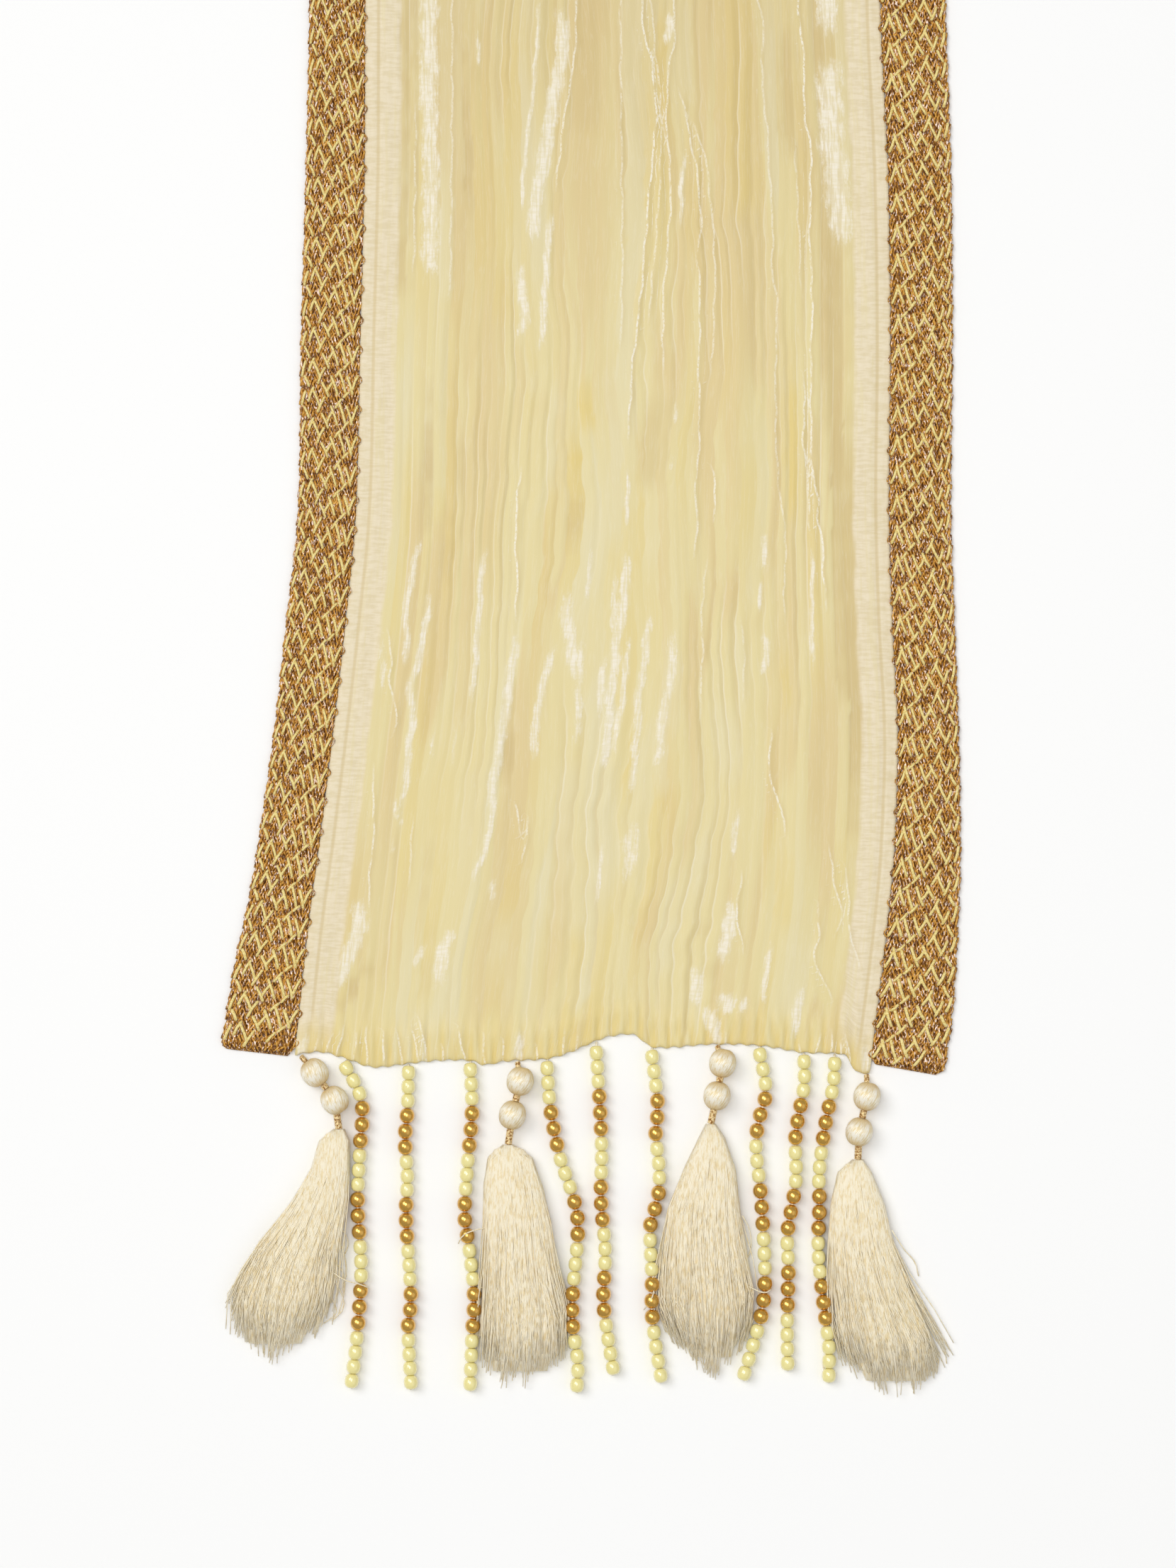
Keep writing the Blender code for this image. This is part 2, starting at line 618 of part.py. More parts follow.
def build_tassel(number, stole):
    """A tassel: a fused head, and locks that grow out of its end and stand apart."""
    rows = TASSELS[number]
    rng = Random(TASSEL_SEED + number)
    bm = bmesh.new()
    bmesh.ops.create_grid(bm, x_segments=LOCKS_ACROSS, y_segments=LOCK_LAYERS, size=1.0)
    cells = {vertex: (vertex.co.x, vertex.co.y, HEAD_SHARE) for vertex in bm.verts}
    roots = list(bm.faces)
    rim = [edge for edge in bm.edges if edge.is_boundary]

    for ring in range(HEAD_RINGS):
        share = HEAD_SHARE * (1 - (ring + 1) / HEAD_RINGS) ** 1.5
        grown = bmesh.ops.extrude_edge_only(bm, edges=rim)["geom"]
        rim = [item for item in grown if isinstance(item, bmesh.types.BMEdge) and item.is_boundary]
        for vertex in (item for item in grown if isinstance(item, bmesh.types.BMVert)):
            cells[vertex] = (vertex.co.x, vertex.co.y, share)
    bmesh.ops.contextual_create(bm, geom=rim)

    locks = []
    for face in roots:
        middle = face.calc_center_median()
        lean, lift = rng.uniform(-LOCK_LEAN, LOCK_LEAN), rng.uniform(-LOCK_DROOP, LOCK_LEAN)
        locks.append(Lock(middle, lean, lift, rng.uniform(SHORTEST_LOCK, 1.0)))
    for step, thinness in enumerate((LOCK_BEND_THINNESS, LOCK_TIP_THINNESS), start=1):
        roots = bmesh.ops.extrude_discrete_faces(bm, faces=roots)["faces"]
        for face, lock in zip(roots, locks):
            share = LOCK_BEND_SHARE if step == 1 else lock.length
            for vertex in face.verts:
                a = lock.middle.x + (vertex.co.x - lock.middle.x) * thinness + lock.lean * step
                b = lock.middle.y + (vertex.co.y - lock.middle.y) * thinness + lock.lift * step
                cells[vertex] = (min(max(a, -1.0), 1.0), min(max(b, -1.0), 1.0), share)

    for vertex, (a, b, share) in cells.items():
        vertex.co = section_point(rows, a, b, share)
    name = f"tassel_{number + 1}"
    add_object(name, mesh_from(name, bm), "tassel_silk", stole)


def main():
    """Clears the file and builds the stole."""
    for old in list(bpy.data.objects):
        bpy.data.objects.remove(old, do_unlink=True)
    collection = bpy.data.collections.new("dupatta_stole")
    bpy.context.scene.collection.children.link(collection)
    stole = bpy.data.objects.new("stole", None)
    collection.objects.link(stole)

    build_panel(stole)
    for side in BRAID_ENDS:
        build_braid(side, stole)
    for number in range(len(STRING_ROUTES)):
        build_bead_string(number, stole)
    balls = ball_mesh()
    for number in range(len(DROPS)):
        build_drop(number, balls, stole)
        build_tassel(number, stole)


main()
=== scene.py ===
"""The looks of a dupatta stole laid flat on a pale floor, seen from straight above.

Crinkled silk velvet lies between two plaited gold braids, with a fringe of bead strings and silk
tassels along its near hem. Each class below is one sub-assembly as a maker would cut, wind or
string it. The tables are the construction's own, in millimetres: "across" is X, "up" is the way
from the near hem line along the cloth, and "down" is the way from that line out along the fringe.
"""

from __future__ import annotations

import logging
import math
from bisect import bisect_right
from collections.abc import Callable, Iterable, Sequence
from dataclasses import dataclass, field
from enum import Enum
from random import Random
from typing import NamedTuple

import bmesh
import bpy
from mathutils import Matrix, Vector, noise

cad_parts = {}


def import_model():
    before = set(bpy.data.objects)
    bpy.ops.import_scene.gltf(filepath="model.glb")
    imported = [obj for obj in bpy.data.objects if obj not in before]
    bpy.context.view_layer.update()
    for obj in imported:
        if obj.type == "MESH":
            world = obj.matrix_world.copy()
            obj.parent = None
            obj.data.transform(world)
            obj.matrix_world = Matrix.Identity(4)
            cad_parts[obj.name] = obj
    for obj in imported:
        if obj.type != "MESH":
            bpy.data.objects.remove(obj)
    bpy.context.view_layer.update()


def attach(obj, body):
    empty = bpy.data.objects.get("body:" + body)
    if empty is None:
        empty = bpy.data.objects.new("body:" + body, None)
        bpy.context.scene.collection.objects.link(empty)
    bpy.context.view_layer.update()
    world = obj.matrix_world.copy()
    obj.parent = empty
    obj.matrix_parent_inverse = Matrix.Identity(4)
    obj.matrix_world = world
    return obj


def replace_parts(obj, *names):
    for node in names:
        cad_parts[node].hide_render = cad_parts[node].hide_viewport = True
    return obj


log = logging.getLogger("dupatta_stole")

MM = 0.001
BODY = "root"
HEM_LINE_Y = -931.0
CLOTH_LENGTH = 2000.0
SEAM_GAP = 0.3
TAU = math.tau


# The construction's tables


def rows_of(kind: type, *rows: tuple) -> tuple:
    """A table's rows, each with the names of its kind's fields."""
    return tuple(kind(*row) for row in rows)


class Outline(NamedTuple):
    """The stole's edges and the braids' inner edges at one place up the cloth."""

    up: float
    left_edge: float
    left_braid: float
    right_braid: float
    right_edge: float


OUTLINE = rows_of(
    Outline,
    (-6, -156.4, -126.4, 117.8, 148.6), (6, -156, -125.2, 119.2, 150.5),
    (18, -154.3, -123.9, 120.8, 152.3), (42, -150.3, -121.5, 123.8, 154.1),
    (66, -145.1, -118.7, 126.5, 155.3), (90, -140.9, -115.4, 128.6, 156),
    (138, -134, -109.4, 130.1, 155.3), (186, -128.6, -104, 127.8, 153.5),
    (234, -123.6, -99.5, 126.4, 152), (306, -122.3, -97.7, 127, 152.6),
    (378, -120.2, -95.9, 125.9, 152), (450, -118.7, -95.6, 122.6, 149.6),
    (700, -116.5, -93, 120, 145.6), (1000, -118, -94.2, 121.5, 147),
    (1350, -120.5, -96.5, 119.5, 144.6), (1700, -122, -97.8, 122, 147.2),
    (1880, -127, -101.5, 126.5, 152), (1960, -133.5, -107.5, 130, 155.5),
    (2004, -137, -110.6, 130.6, 156),
)  # fmt: skip


class HemPoint(NamedTuple):
    """How far down the near hem's line lies at one place across the cloth."""

    across: float
    down: float


NEAR_HEM = rows_of(
    HemPoint,
    (-125.6, -3.6), (-114.2, -4.8), (-103, -1.8), (-92.3, 1.6), (-77, 0), (-63.8, -1.2),
    (-51, -1.2), (-45.2, 0.6), (-36.2, -0.9), (-18.4, -2), (-9, -4.6), (1.6, -9.3),
    (9, -11.6), (18.5, -12), (25.9, -6.9), (51.2, -8.1), (71.5, -7.5), (90, -4.6),
    (104, -4.2), (107.8, -3.2), (112.2, 3.4), (118.1, 4.2),
)  # fmt: skip


class Fold(NamedTuple):
    """One of the largest folds, placed by its share of the way across the crinkled zone."""

    share: float
    width: float
    rise: float
    start_up: float
    end_up: float


FOLDS = rows_of(
    Fold,
    (0.10, 13, 0.9, 140, 420), (0.30, 10, 1.3, 290, 760),
    (0.24, 16, 1, -20, 190), (0.52, 20, 1.3, 240, 980),
    (0.62, 15, 1.1, 20, 330), (0.74, 12, 1.2, 90, 560),
    (0.88, 11, 0.9, -20, 240), (0.16, 14, 1.2, 640, 1150),
    (0.42, 16, 1, 900, 1420), (0.70, 18, 1.2, 820, 1500),
    (0.28, 12, 1.1, 1330, 1880), (0.56, 15, 1.2, 1500, 2020),
    (0.85, 12, 1, 1250, 1790),
)  # fmt: skip


class BraidEnd(NamedTuple):
    """Where a braid's turned ends lie up the cloth, at its outer and its inner edge."""

    near_outer: float
    near_inner: float
    far_outer: float
    far_inner: float


class Side(Enum):
    """One of the stole's two long edges, with its braid's ends."""

    LEFT = BraidEnd(6.0, 3.0, 2003.0, 2001.0)
    RIGHT = BraidEnd(-5.0, -0.6, 2002.0, 2003.0)


STRING_ROUTES = (
    ((-103.3, 1.9), (-96.8, 16), (-97.6, 37.5), (-98.5, 60), (-97, 87), (-98.8, 115.2),
     (-101, 134)),
    ((-77, 3.8), (-77.4, 18.9), (-78.5, 32.4), (-77.5, 48), (-78.1, 64.2), (-76.9, 83.1),
     (-76, 100.5), (-77.2, 111), (-76, 134.6)),
    ((-50.9, 2.6), (-50.2, 20.1), (-52, 42), (-53.3, 63.6), (-51.4, 78), (-49.3, 98.4),
     (-50.2, 115.5), (-50.9, 135.2)),
    ((-18.4, 1.9), (-16.9, 20.1), (-13, 39.6), (-7, 57.9), (-5.5, 71.4), (-7.6, 97.5),
     (-7.6, 110.7), (-5.5, 126), (-5.8, 135.8)),
    ((2.4, -4.6), (3.8, 17.7), (4.6, 37.5), (4.3, 57.3), (6.1, 79.5), (5.3, 99), (6.8, 112.5),
     (9.3, 128.4)),
    ((25.9, -2.9), (28.3, 17.5), (27.4, 29.1), (28.9, 45), (28.3, 57), (25.1, 69),
     (25.8, 90), (26, 108), (29.5, 131.7)),
    ((71.5, -3.7), (74, 11.5), (71.4, 22.5), (69.8, 34.5), (72.1, 59.1), (73.6, 90),
     (72.1, 105.6), (68.8, 118.2), (64.9, 130.8)),
    ((90.1, -0.8), (90, 10), (86.5, 30), (86.6, 49.5), (83.2, 71), (83.5, 86.7),
     (83, 111), (83.2, 126.6)),
    ((103, 0.1), (102.3, 9.7), (98.8, 27.3), (96.5, 46.2), (96.6, 60), (96.1, 78.9),
     (98, 98.7), (100.5, 118.5), (100.6, 131.7)),
)  # fmt: skip


class Drop(NamedTuple):
    """One tassel drop: where its tie leaves the hem, and its balls' and tassel head's middles."""

    tie_across: float
    upper: tuple[float, float]
    lower: tuple[float, float]
    head: tuple[float, float]


DROPS = rows_of(
    Drop,
    (-122.4, (-116.5, 3.6), (-108.1, 15.3), (-106.3, 27.6)),
    (-31, (-29.8, 7.2), (-33.1, 21.5), (-34.9, 34.2)),
    (53.5, (55.6, -0.4), (53.2, 13.4), (50.6, 25.4)),
    (116.6, (116.5, 13.6), (113.2, 28.6), (112.7, 40.5)),
)  # fmt: skip


class TasselRow(NamedTuple):
    """A tassel's left and right outline at one place down the fringe."""

    down: float
    left: float
    right: float


TASSEL_OUTLINES = (
    rows_of(
        TasselRow,
        (27.6, -109, -103.6), (29.4, -112.4, -102.6), (33.3, -115, -101.9),
        (48.6, -119.5, -102.3), (63.9, -130.3, -104), (79.2, -141.2, -108.4),
        (94.5, -148, -110.5), (109.8, -150.4, -114.5), (125.1, -146, -122.5),
    ),
    rows_of(
        TasselRow,
        (34.2, -37.5, -32.3), (35.5, -41, -28.2), (38.6, -43.2, -25.3), (49.8, -45, -21.1),
        (65.4, -45, -17.2), (80.7, -44.9, -16.1), (96, -44.9, -13.6), (111.3, -44.9, -12.6),
        (137.1, -45.6, -15.4),
    ),
    rows_of(
        TasselRow,
        (25.4, 48.2, 53), (31.4, 45.6, 56.5), (46.5, 38.5, 61.3), (62.1, 33.1, 62.8),
        (78, 31.4, 65), (93.6, 30.4, 67.6), (101.4, 30.6, 67.6), (117, 36.5, 64),
        (131.4, 42.4, 60.1),
    ),
    rows_of(
        TasselRow,
        (40.5, 110, 115.4), (42.2, 107, 116.9), (45.3, 104.5, 118.3), (60.6, 101.2, 124.3),
        (75.9, 100.9, 127.3), (91.2, 102, 132.8), (106.5, 104.2, 139), (121.8, 107.6, 146.5),
        (141, 115, 143),
    ),
)  # fmt: skip


# What shows on the velvet, each placed one by one


class Mark(Enum):
    """What a stroke along the cloth is."""

    # PILE's white is its pile catching the light, painted in as sheen; CREST is a painted
    # highlight; TAN is painted shade
    PILE = "pile crushed the other way, which looks white"
    CREST = "a thin light line along a sharp crease"
    TAN = "a hollow, shaded tan"
    YELLOW = "a fold of a deeper yellow"
    PALE = "a smooth pale strip with few crinkles"


class Stroke(NamedTuple):
    """A stroke of one kind along the cloth, through points given across and up."""

    mark: Mark
    width: float
    strength: float
    path: tuple[tuple[float, float], ...]


PILE, CREST, TAN, YELLOW, PALE = Mark.PILE, Mark.CREST, Mark.TAN, Mark.YELLOW, Mark.PALE
STROKES = rows_of(
    Stroke,
    (PILE, 8, 0.85, ((-68.3, 470), (-68.3, 407), (-67.5, 375), (-67.8, 330))),
    (PILE, 1.6, 0.8, ((-48.5, 438), (-47.5, 430), (-46.9, 420))),
    (PILE, 1.7, 1, ((-21.2, 452), (-23.3, 423), (-25.5, 402), (-28.2, 380), (-29.2, 358))),
    (PILE, 6, 1, ((-13.7, 448), (-11.6, 434), (-13.7, 418), (-16.9, 402), (-19.1, 386),
        (-22.3, 370), (-24.4, 354), (-24.4, 344))),
    (PILE, 4.6, 1, ((-27.6, 340), (-29.8, 327), (-27.6, 316), (-30.8, 303))),
    (CREST, 1.2, 0.8, ((-5.1, 470), (-7.3, 423), (-10.5, 405), (-13.7, 381), (-14.8, 368))),
    (PILE, 3.4, 0.9, ((-16.6, 362), (-18, 348), (-19.6, 324), (-21.2, 300))),
    (CREST, 1, 0.6, ((-74.2, 407), (-74.4, 370), (-75, 332))),
    (CREST, 1, 0.6, ((-58.7, 470), (-58.7, 400), (-59.6, 321))),
    (TAN, 6.5, 1, ((-77, 470), (-77.4, 410), (-77.4, 375), (-79.6, 322))),
    (TAN, 5, 0.8, ((-50, 440), (-51.2, 400), (-53.5, 345))),
    (YELLOW, 10, 0.6, ((-32, 440), (-35, 380), (-38, 310))),
    (PALE, 9, 0.7, ((-58.5, 480), (-58.7, 400), (-62, 320))),
    (TAN, 16, 0.6, ((4, 480), (1, 430), (-3, 390))),
    (YELLOW, 5, 0.8, ((2.5, 400), (3, 372), (1, 350))),
    (TAN, 12, 1, ((96, 470), (99, 400), (101, 340), (103, 282), (106, 235),
        (109, 180), (110.5, 150))),
    (PALE, 15, 1, ((18.3, 480), (18.3, 400), (17.8, 343), (13, 285), (8, 215))),
    (CREST, 1, 0.6, ((12.4, 470), (12.8, 400), (13.3, 343), (12.5, 300))),
    (CREST, 1.6, 1, ((21, 470), (22, 439), (25.2, 425), (27.4, 407), (26.8, 390),
        (24.7, 370), (23.1, 349), (21, 324), (18.8, 306), (17.2, 290), (15.6, 262))),
    (CREST, 1, 0.6, ((23.6, 470), (27.9, 421), (29.6, 407), (29.2, 375), (27, 343),
        (24, 311))),
    (CREST, 1.2, 0.8, ((34.3, 470), (35.4, 436), (33.2, 422), (31.9, 402), (32.7, 386),
        (33.8, 373), (32.7, 349), (30.6, 322), (30.6, 290))),
    (CREST, 1.2, 0.8, ((37, 414), (40.2, 400), (42.3, 390), (45, 375), (46.6, 354),
        (45, 343), (46.1, 324), (45.5, 290), (46, 274), (45.1, 252), (43.8, 238), (45.5, 229),
        (42.7, 212))),
    (PILE, 4.4, 0.8, ((32.6, 446), (32.9, 438), (32.2, 430))),
    (PILE, 2.2, 0.9, ((40, 388), (38.6, 373), (37.5, 352))),
    (CREST, 0.9, 0.6, ((41.2, 402), (47.7, 386), (49.6, 373), (51.2, 359), (52.5, 333),
        (50.9, 290))),
    (CREST, 0.9, 0.6, ((66, 470), (72.7, 439), (72.2, 418), (74.3, 397), (75.9, 370),
        (77, 354), (76.5, 338), (78.6, 322), (78.1, 290), (78.8, 252), (82.7, 218), (81.6, 207),
        (82.1, 185))),
    (CREST, 1.4, 1, ((86.4, 470), (88.8, 434), (90.4, 423), (89.8, 409), (90.9, 399),
        (93, 386), (92.5, 349), (93.6, 324), (93, 300), (93, 276), (93.8, 248), (96.5, 237),
        (96, 229), (98.2, 218), (98.2, 207), (99.9, 190))),
    (CREST, 1, 0.8, ((89.8, 294), (90.4, 271), (89.3, 263), (91.5, 252), (92.1, 232),
        (93.2, 222))),
    (CREST, 0.9, 0.5, ((86.1, 392), (88.4, 343), (88.8, 326))),
    (PILE, 9, 0.9, ((100, 480), (100, 450), (101, 432))),
    (PILE, 10.5, 1, ((100.6, 427), (101.6, 397), (103.2, 381), (104.8, 365), (107, 344))),
    (TAN, 9, 1, ((105, 385), (105.8, 333), (106, 285), (107.6, 241), (108.8, 207),
        (111, 174), (113.2, 141), (114.4, 111), (114, 60), (113.5, 44))),
    (TAN, 9, 0.8, ((83, 440), (83.4, 410), (84, 380))),
    (YELLOW, 20, 0.8, ((59, 480), (61, 439), (62, 400), (66, 355))),
    (YELLOW, 4, 0.8, ((27, 450), (30.5, 420), (31, 395))),
    (YELLOW, 9, 0.9, ((86, 290), (84.9, 257), (86, 228))),
    (YELLOW, 3.4, 1, ((19, 245), (18.3, 229), (17.5, 195))),
    (YELLOW, 4, 0.7, ((81, 178), (81, 163), (81, 144))),
    (YELLOW, 3.4, 0.9, ((18.2, 150), (16, 130), (13, 108))),
    (TAN, 14, 0.6, ((30.5, 285), (27, 262), (26, 240))),
    (TAN, 3.6, 0.9, ((-66.1, 292), (-67, 265), (-68.7, 250), (-70.4, 221))),
    (TAN, 3.2, 0.6, ((-54.6, 266), (-56, 243), (-60.4, 200))),
    (YELLOW, 6, 1, ((-2.3, 292), (-1.6, 277), (-5.3, 262), (-8.3, 251), (-9.5, 222))),
    (PALE, 10, 0.8, ((-15.5, 292), (-15.7, 273), (-18, 240))),
    (PILE, 3.2, 0.9, ((-71.4, 223), (-74.4, 213), (-75.4, 206), (-78.3, 194), (-77.8, 182),
        (-78.8, 166))),
    (PILE, 3.4, 1, ((-67.9, 200), (-70.4, 183), (-72.4, 173), (-76.4, 158), (-75.4, 149),
        (-77.3, 129), (-79.3, 106))),
    (CREST, 1.3, 1, ((-29.4, 253), (-31.6, 233), (-31.6, 212), (-31.1, 204), (-32.1, 186))),
    (PILE, 4.2, 1, ((-31.6, 184), (-33.1, 168), (-35.6, 153), (-37.5, 139), (-40.5, 124),
        (-42.5, 106))),
    (PILE, 2.6, 1, ((-45, 220), (-46.5, 203), (-47.5, 188), (-48.5, 173), (-50.5, 151))),
    (PILE, 5.4, 1, ((-9.2, 201), (-10.2, 188), (-8.2, 176), (-6.7, 160))),
    (PILE, 3.8, 0.9, ((-15.2, 179), (-18.6, 165), (-22.1, 153), (-24.6, 126))),
    (PILE, 3.4, 0.7, ((-3.7, 182), (-4.7, 158), (-6.7, 131))),
    (PILE, 2.6, 0.7, ((1.3, 220), (-0.7, 208), (-1.7, 192))),
    (PILE, 3.4, 0.8, ((6.4, 175), (4.2, 158), (2.8, 144))),
    (CREST, 1.3, 0.8, ((-86.3, 186), (-84.3, 172), (-85.3, 163), (-82.3, 149), (-83.8, 137))),
    (PILE, 3.2, 0.6, ((-89.3, 180), (-87.3, 168), (-89.3, 156))),
    (PILE, 1.8, 0.7, ((-66.4, 142), (-67.4, 127))),
    (PILE, 2, 0.7, ((-57.4, 145), (-58.4, 122))),
    (CREST, 1.3, 0.8, ((-91.4, 128), (-92.3, 113), (-91.4, 100), (-93.1, 85), (-94, 62))),
    (TAN, 4, 0.8, ((-6.7, 240), (-8, 230), (-9.7, 214))),
    (TAN, 3, 0.8, ((-30.4, 172), (-33, 145), (-36.6, 116))),
    (YELLOW, 3.5, 0.7, ((-64, 245), (-66.5, 225), (-67.5, 208))),
    (PILE, 1.8, 1, ((15.5, 254), (15.6, 240), (15.4, 225))),
    (PILE, 4.2, 1, ((14.4, 218), (14.9, 207), (13.3, 191), (10.5, 174), (8.8, 157), (7.2, 141),
        (5.5, 122))),
    (PILE, 3, 0.8, ((10.3, 209), (9.9, 191), (8.4, 180))),
    (PILE, 2.6, 1, ((16.2, 182), (14.4, 163), (12.2, 146), (8.8, 128))),
    (PILE, 3.6, 0.8, ((24.9, 193), (23.3, 174), (20.5, 157), (18.8, 130), (16, 110))),
    (PILE, 4.6, 0.7, ((34.9, 187), (34.4, 168), (29.9, 143), (27.7, 122))),
    (PILE, 1.6, 0.8, ((36, 281), (35.8, 270))),
    (PILE, 1.4, 0.7, ((34.2, 258), (34, 249))),
    (CREST, 1.4, 0.9, ((50.3, 254), (52.7, 244), (51.6, 228))),
    (CREST, 0.9, 0.6, ((49.6, 214), (47.1, 196), (47.1, 174), (46, 144))),
    (PILE, 1.9, 1, ((93.2, 220), (93.8, 203), (93.2, 189), (94.3, 166))),
    (PILE, 2.6, 0.9, ((73.8, 225), (73.2, 207))),
    (PILE, 2, 1, ((71.6, 204), (71, 189))),
    (PILE, 3.2, 1, ((74, 182), (74.3, 172), (71.6, 163))),
    (CREST, 1.2, 0.9, ((76.6, 143), (75.4, 127), (77.7, 114), (81.6, 104), (82.4, 94))),
    (CREST, 0.9, 0.5, ((63.6, 190), (64.9, 168), (64, 150))),
    (PALE, 12, 0.8, ((35, 178), (32, 150), (28, 110))),
    (PALE, 12, 0.8, ((57, 155), (58.2, 140), (60, 116))),
    (PILE, 6.6, 1, ((-58.3, 58), (-59.6, 54), (-62.5, 47), (-65.3, 30))),
    (PILE, 4, 0.8, ((-70.2, 51), (-72.5, 46), (-75.4, 39))),
    (PILE, 2.8, 1, ((-40, 116), (-42.9, 97), (-47.6, 83), (-50.2, 73))),
    (CREST, 1.2, 0.8, ((-32.8, 112), (-30.5, 102), (-29.5, 94))),
    (CREST, 1.1, 0.7, ((-26.4, 106), (-27.5, 95), (-29.2, 83))),
    (PILE, 3, 0.8, ((-41.2, 79), (-41.4, 67))),
    (CREST, 1, 0.6, ((-75.4, 106), (-76, 90), (-77.5, 73))),
    (PILE, 2.6, 0.8, ((-83.4, 112), (-81, 104), (-79, 98))),
    (PILE, 1.4, 0.7, ((-83.8, 97), (-84, 88))),
    (PILE, 7, 1, ((-98.6, 71), (-97.9, 60), (-100.7, 49), (-106.5, 37), (-110.3, 27))),
    (PILE, 9, 1, ((-112, 60), (-114.1, 47), (-118, 28), (-120.5, 14))),
    (TAN, 8, 0.9, ((-94, 44), (-99, 34), (-107, 20))),
    (PILE, 8, 0.65, ((18.6, 104), (16.4, 90), (14.8, 74))),
    (PILE, 2, 0.9, ((5.8, 97), (3.4, 78), (1.5, 63))),
    (PILE, 3, 0.8, ((63.2, 110), (61, 98), (59.4, 86))),
    (PILE, 6, 1, ((60, 71), (57.5, 54), (55.8, 40))),
    (CREST, 1.3, 1, ((64.2, 82), (61.8, 65), (64.6, 45))),
    (PILE, 2.6, 1, ((76.6, 53), (74.2, 40), (72.8, 23))),
    (PILE, 5.5, 1, ((44.5, 42), (44.6, 33), (45.4, 23))),
    (PILE, 6, 1, ((47.4, 25), (50, 19), (53.3, 11))),
    (PILE, 8, 0.9, ((56.2, 31), (58, 25), (57.6, 20))),
    (PILE, 4, 1, ((88.5, 34), (87.6, 22), (85.2, 9))),
    (PILE, 4, 0.8, ((64, 29), (64.5, 20))),
    (CREST, 1.1, 0.8, ((100, 94), (102.3, 82), (104, 71), (106.1, 63), (102.9, 52))),
    (CREST, 1.1, 0.8, ((106.6, 86), (109.3, 69), (108.8, 57), (112.8, 45), (114.4, 36))),
    (CREST, 1.1, 0.8, ((95.8, 70), (96.4, 54), (94.2, 45), (99, 34), (102.9, 24))),
    (PALE, 9, 0.9, ((46, 92), (36.5, 58), (29, 32))),
    (YELLOW, 12, 0.6, ((79, 112), (80, 80), (82, 54))),
    (PALE, 16, 0.8, ((-8, 130), (-8, 90), (-6, 50))),
    (PALE, 10, 0.6, ((-40, 70), (-38, 45), (-36, 24))),
    (TAN, 5, 0.6, ((-67, 95), (-69.5, 60), (-72.5, 25))),
    (TAN, 5, 0.5, ((48, 62), (50, 48), (52, 34))),
    (PILE, 4.6, 1, ((-120.6, 13), (-121.6, 7), (-122.4, 0))),
    (PILE, 4.2, 1, ((-30.6, 15), (-30.4, 8), (-31, -1))),
    (PILE, 4.6, 1, ((53.2, 21), (53, 15), (53.5, 6))),
    (PILE, 4.6, 1, ((116, 9), (116.4, 3), (116.6, -5))),
)  # fmt: skip


class Pleat(NamedTuple):
    """A light ridge of the near hem's gathers: across at the edge, its lean, and its length."""

    across: float
    lean: float
    length: float


# each ridge is laid as a crest line: a painted highlight
HEM_PLEATS = rows_of(
    Pleat,
    (-119, 4, 11), (-113.5, 5, 14), (-108.5, 4.5, 17), (-101, 2.5, 15),
    (-94.5, -0.5, 18), (-87, -1.5, 16), (-79.5, -3, 15), (-72, -4.5, 19),
    (-68, -6, 22), (-62.5, -1, 9), (-52.5, -4.5, 18), (-44.5, -1.5, 14),
    (-37, -0.5, 12), (-29.5, 0, 15), (-22, -1.5, 9), (-12.5, 1.5, 15),
    (-6, 0.5, 13), (1, -2.5, 10), (9.5, -2, 15), (20.5, -1.5, 8), (27.5, 1, 9),
    (38.5, 0.5, 9), (56, 1.5, 14), (70.5, 0.5, 9), (78.5, 1.5, 8), (89.5, -1.5, 10),
    (94.5, 2.5, 14), (100.5, 2, 15), (105.5, 0.5, 11), (110.5, -3.5, 13),
)  # fmt: skip


class Float(NamedTuple):
    """A cord's float in one repeat of the plait, from its start to its end across and down."""

    across: float
    down: float
    end_across: float
    end_down: float


PLAIT_WIDTH = 24.6
PLAIT_REPEAT = 12.75
PLAIT = rows_of(
    Float,
    (1.6, 3.2, 3.3, 6.9), (5.3, 8.1, 3.6, 12.8), (5.4, 9.4, 7.9, 15.4), (9.9, 12.3, 7.5, 17.6),
    (9.2, 6.2, 11.5, 11.1), (13.6, 5.3, 11.4, 9.2), (13, 3.5, 15.4, 10.1),
    (17.2, 0.2, 15.1, 3), (16.5, 2, 18.8, 9.3), (20.3, 9.8, 18.5, 11.9),
    (19.7, 3.5, 21.7, 9.9), (24, 3.2, 22.2, 8.2), (1.9, 9.6, 0.7, 14.6),
)  # fmt: skip


# Shared helpers


def metres(across: float, along: float, height: float) -> Vector:
    """A point in metres, from its X, its Y and its height over the floor in millimetres."""
    return Vector((across, along, height)) * MM


def down_point(across: float, down: float, height: float) -> Vector:
    """A point of the fringe, in metres, from its place across and down from the hem line."""
    return metres(across, HEM_LINE_Y - down, height)


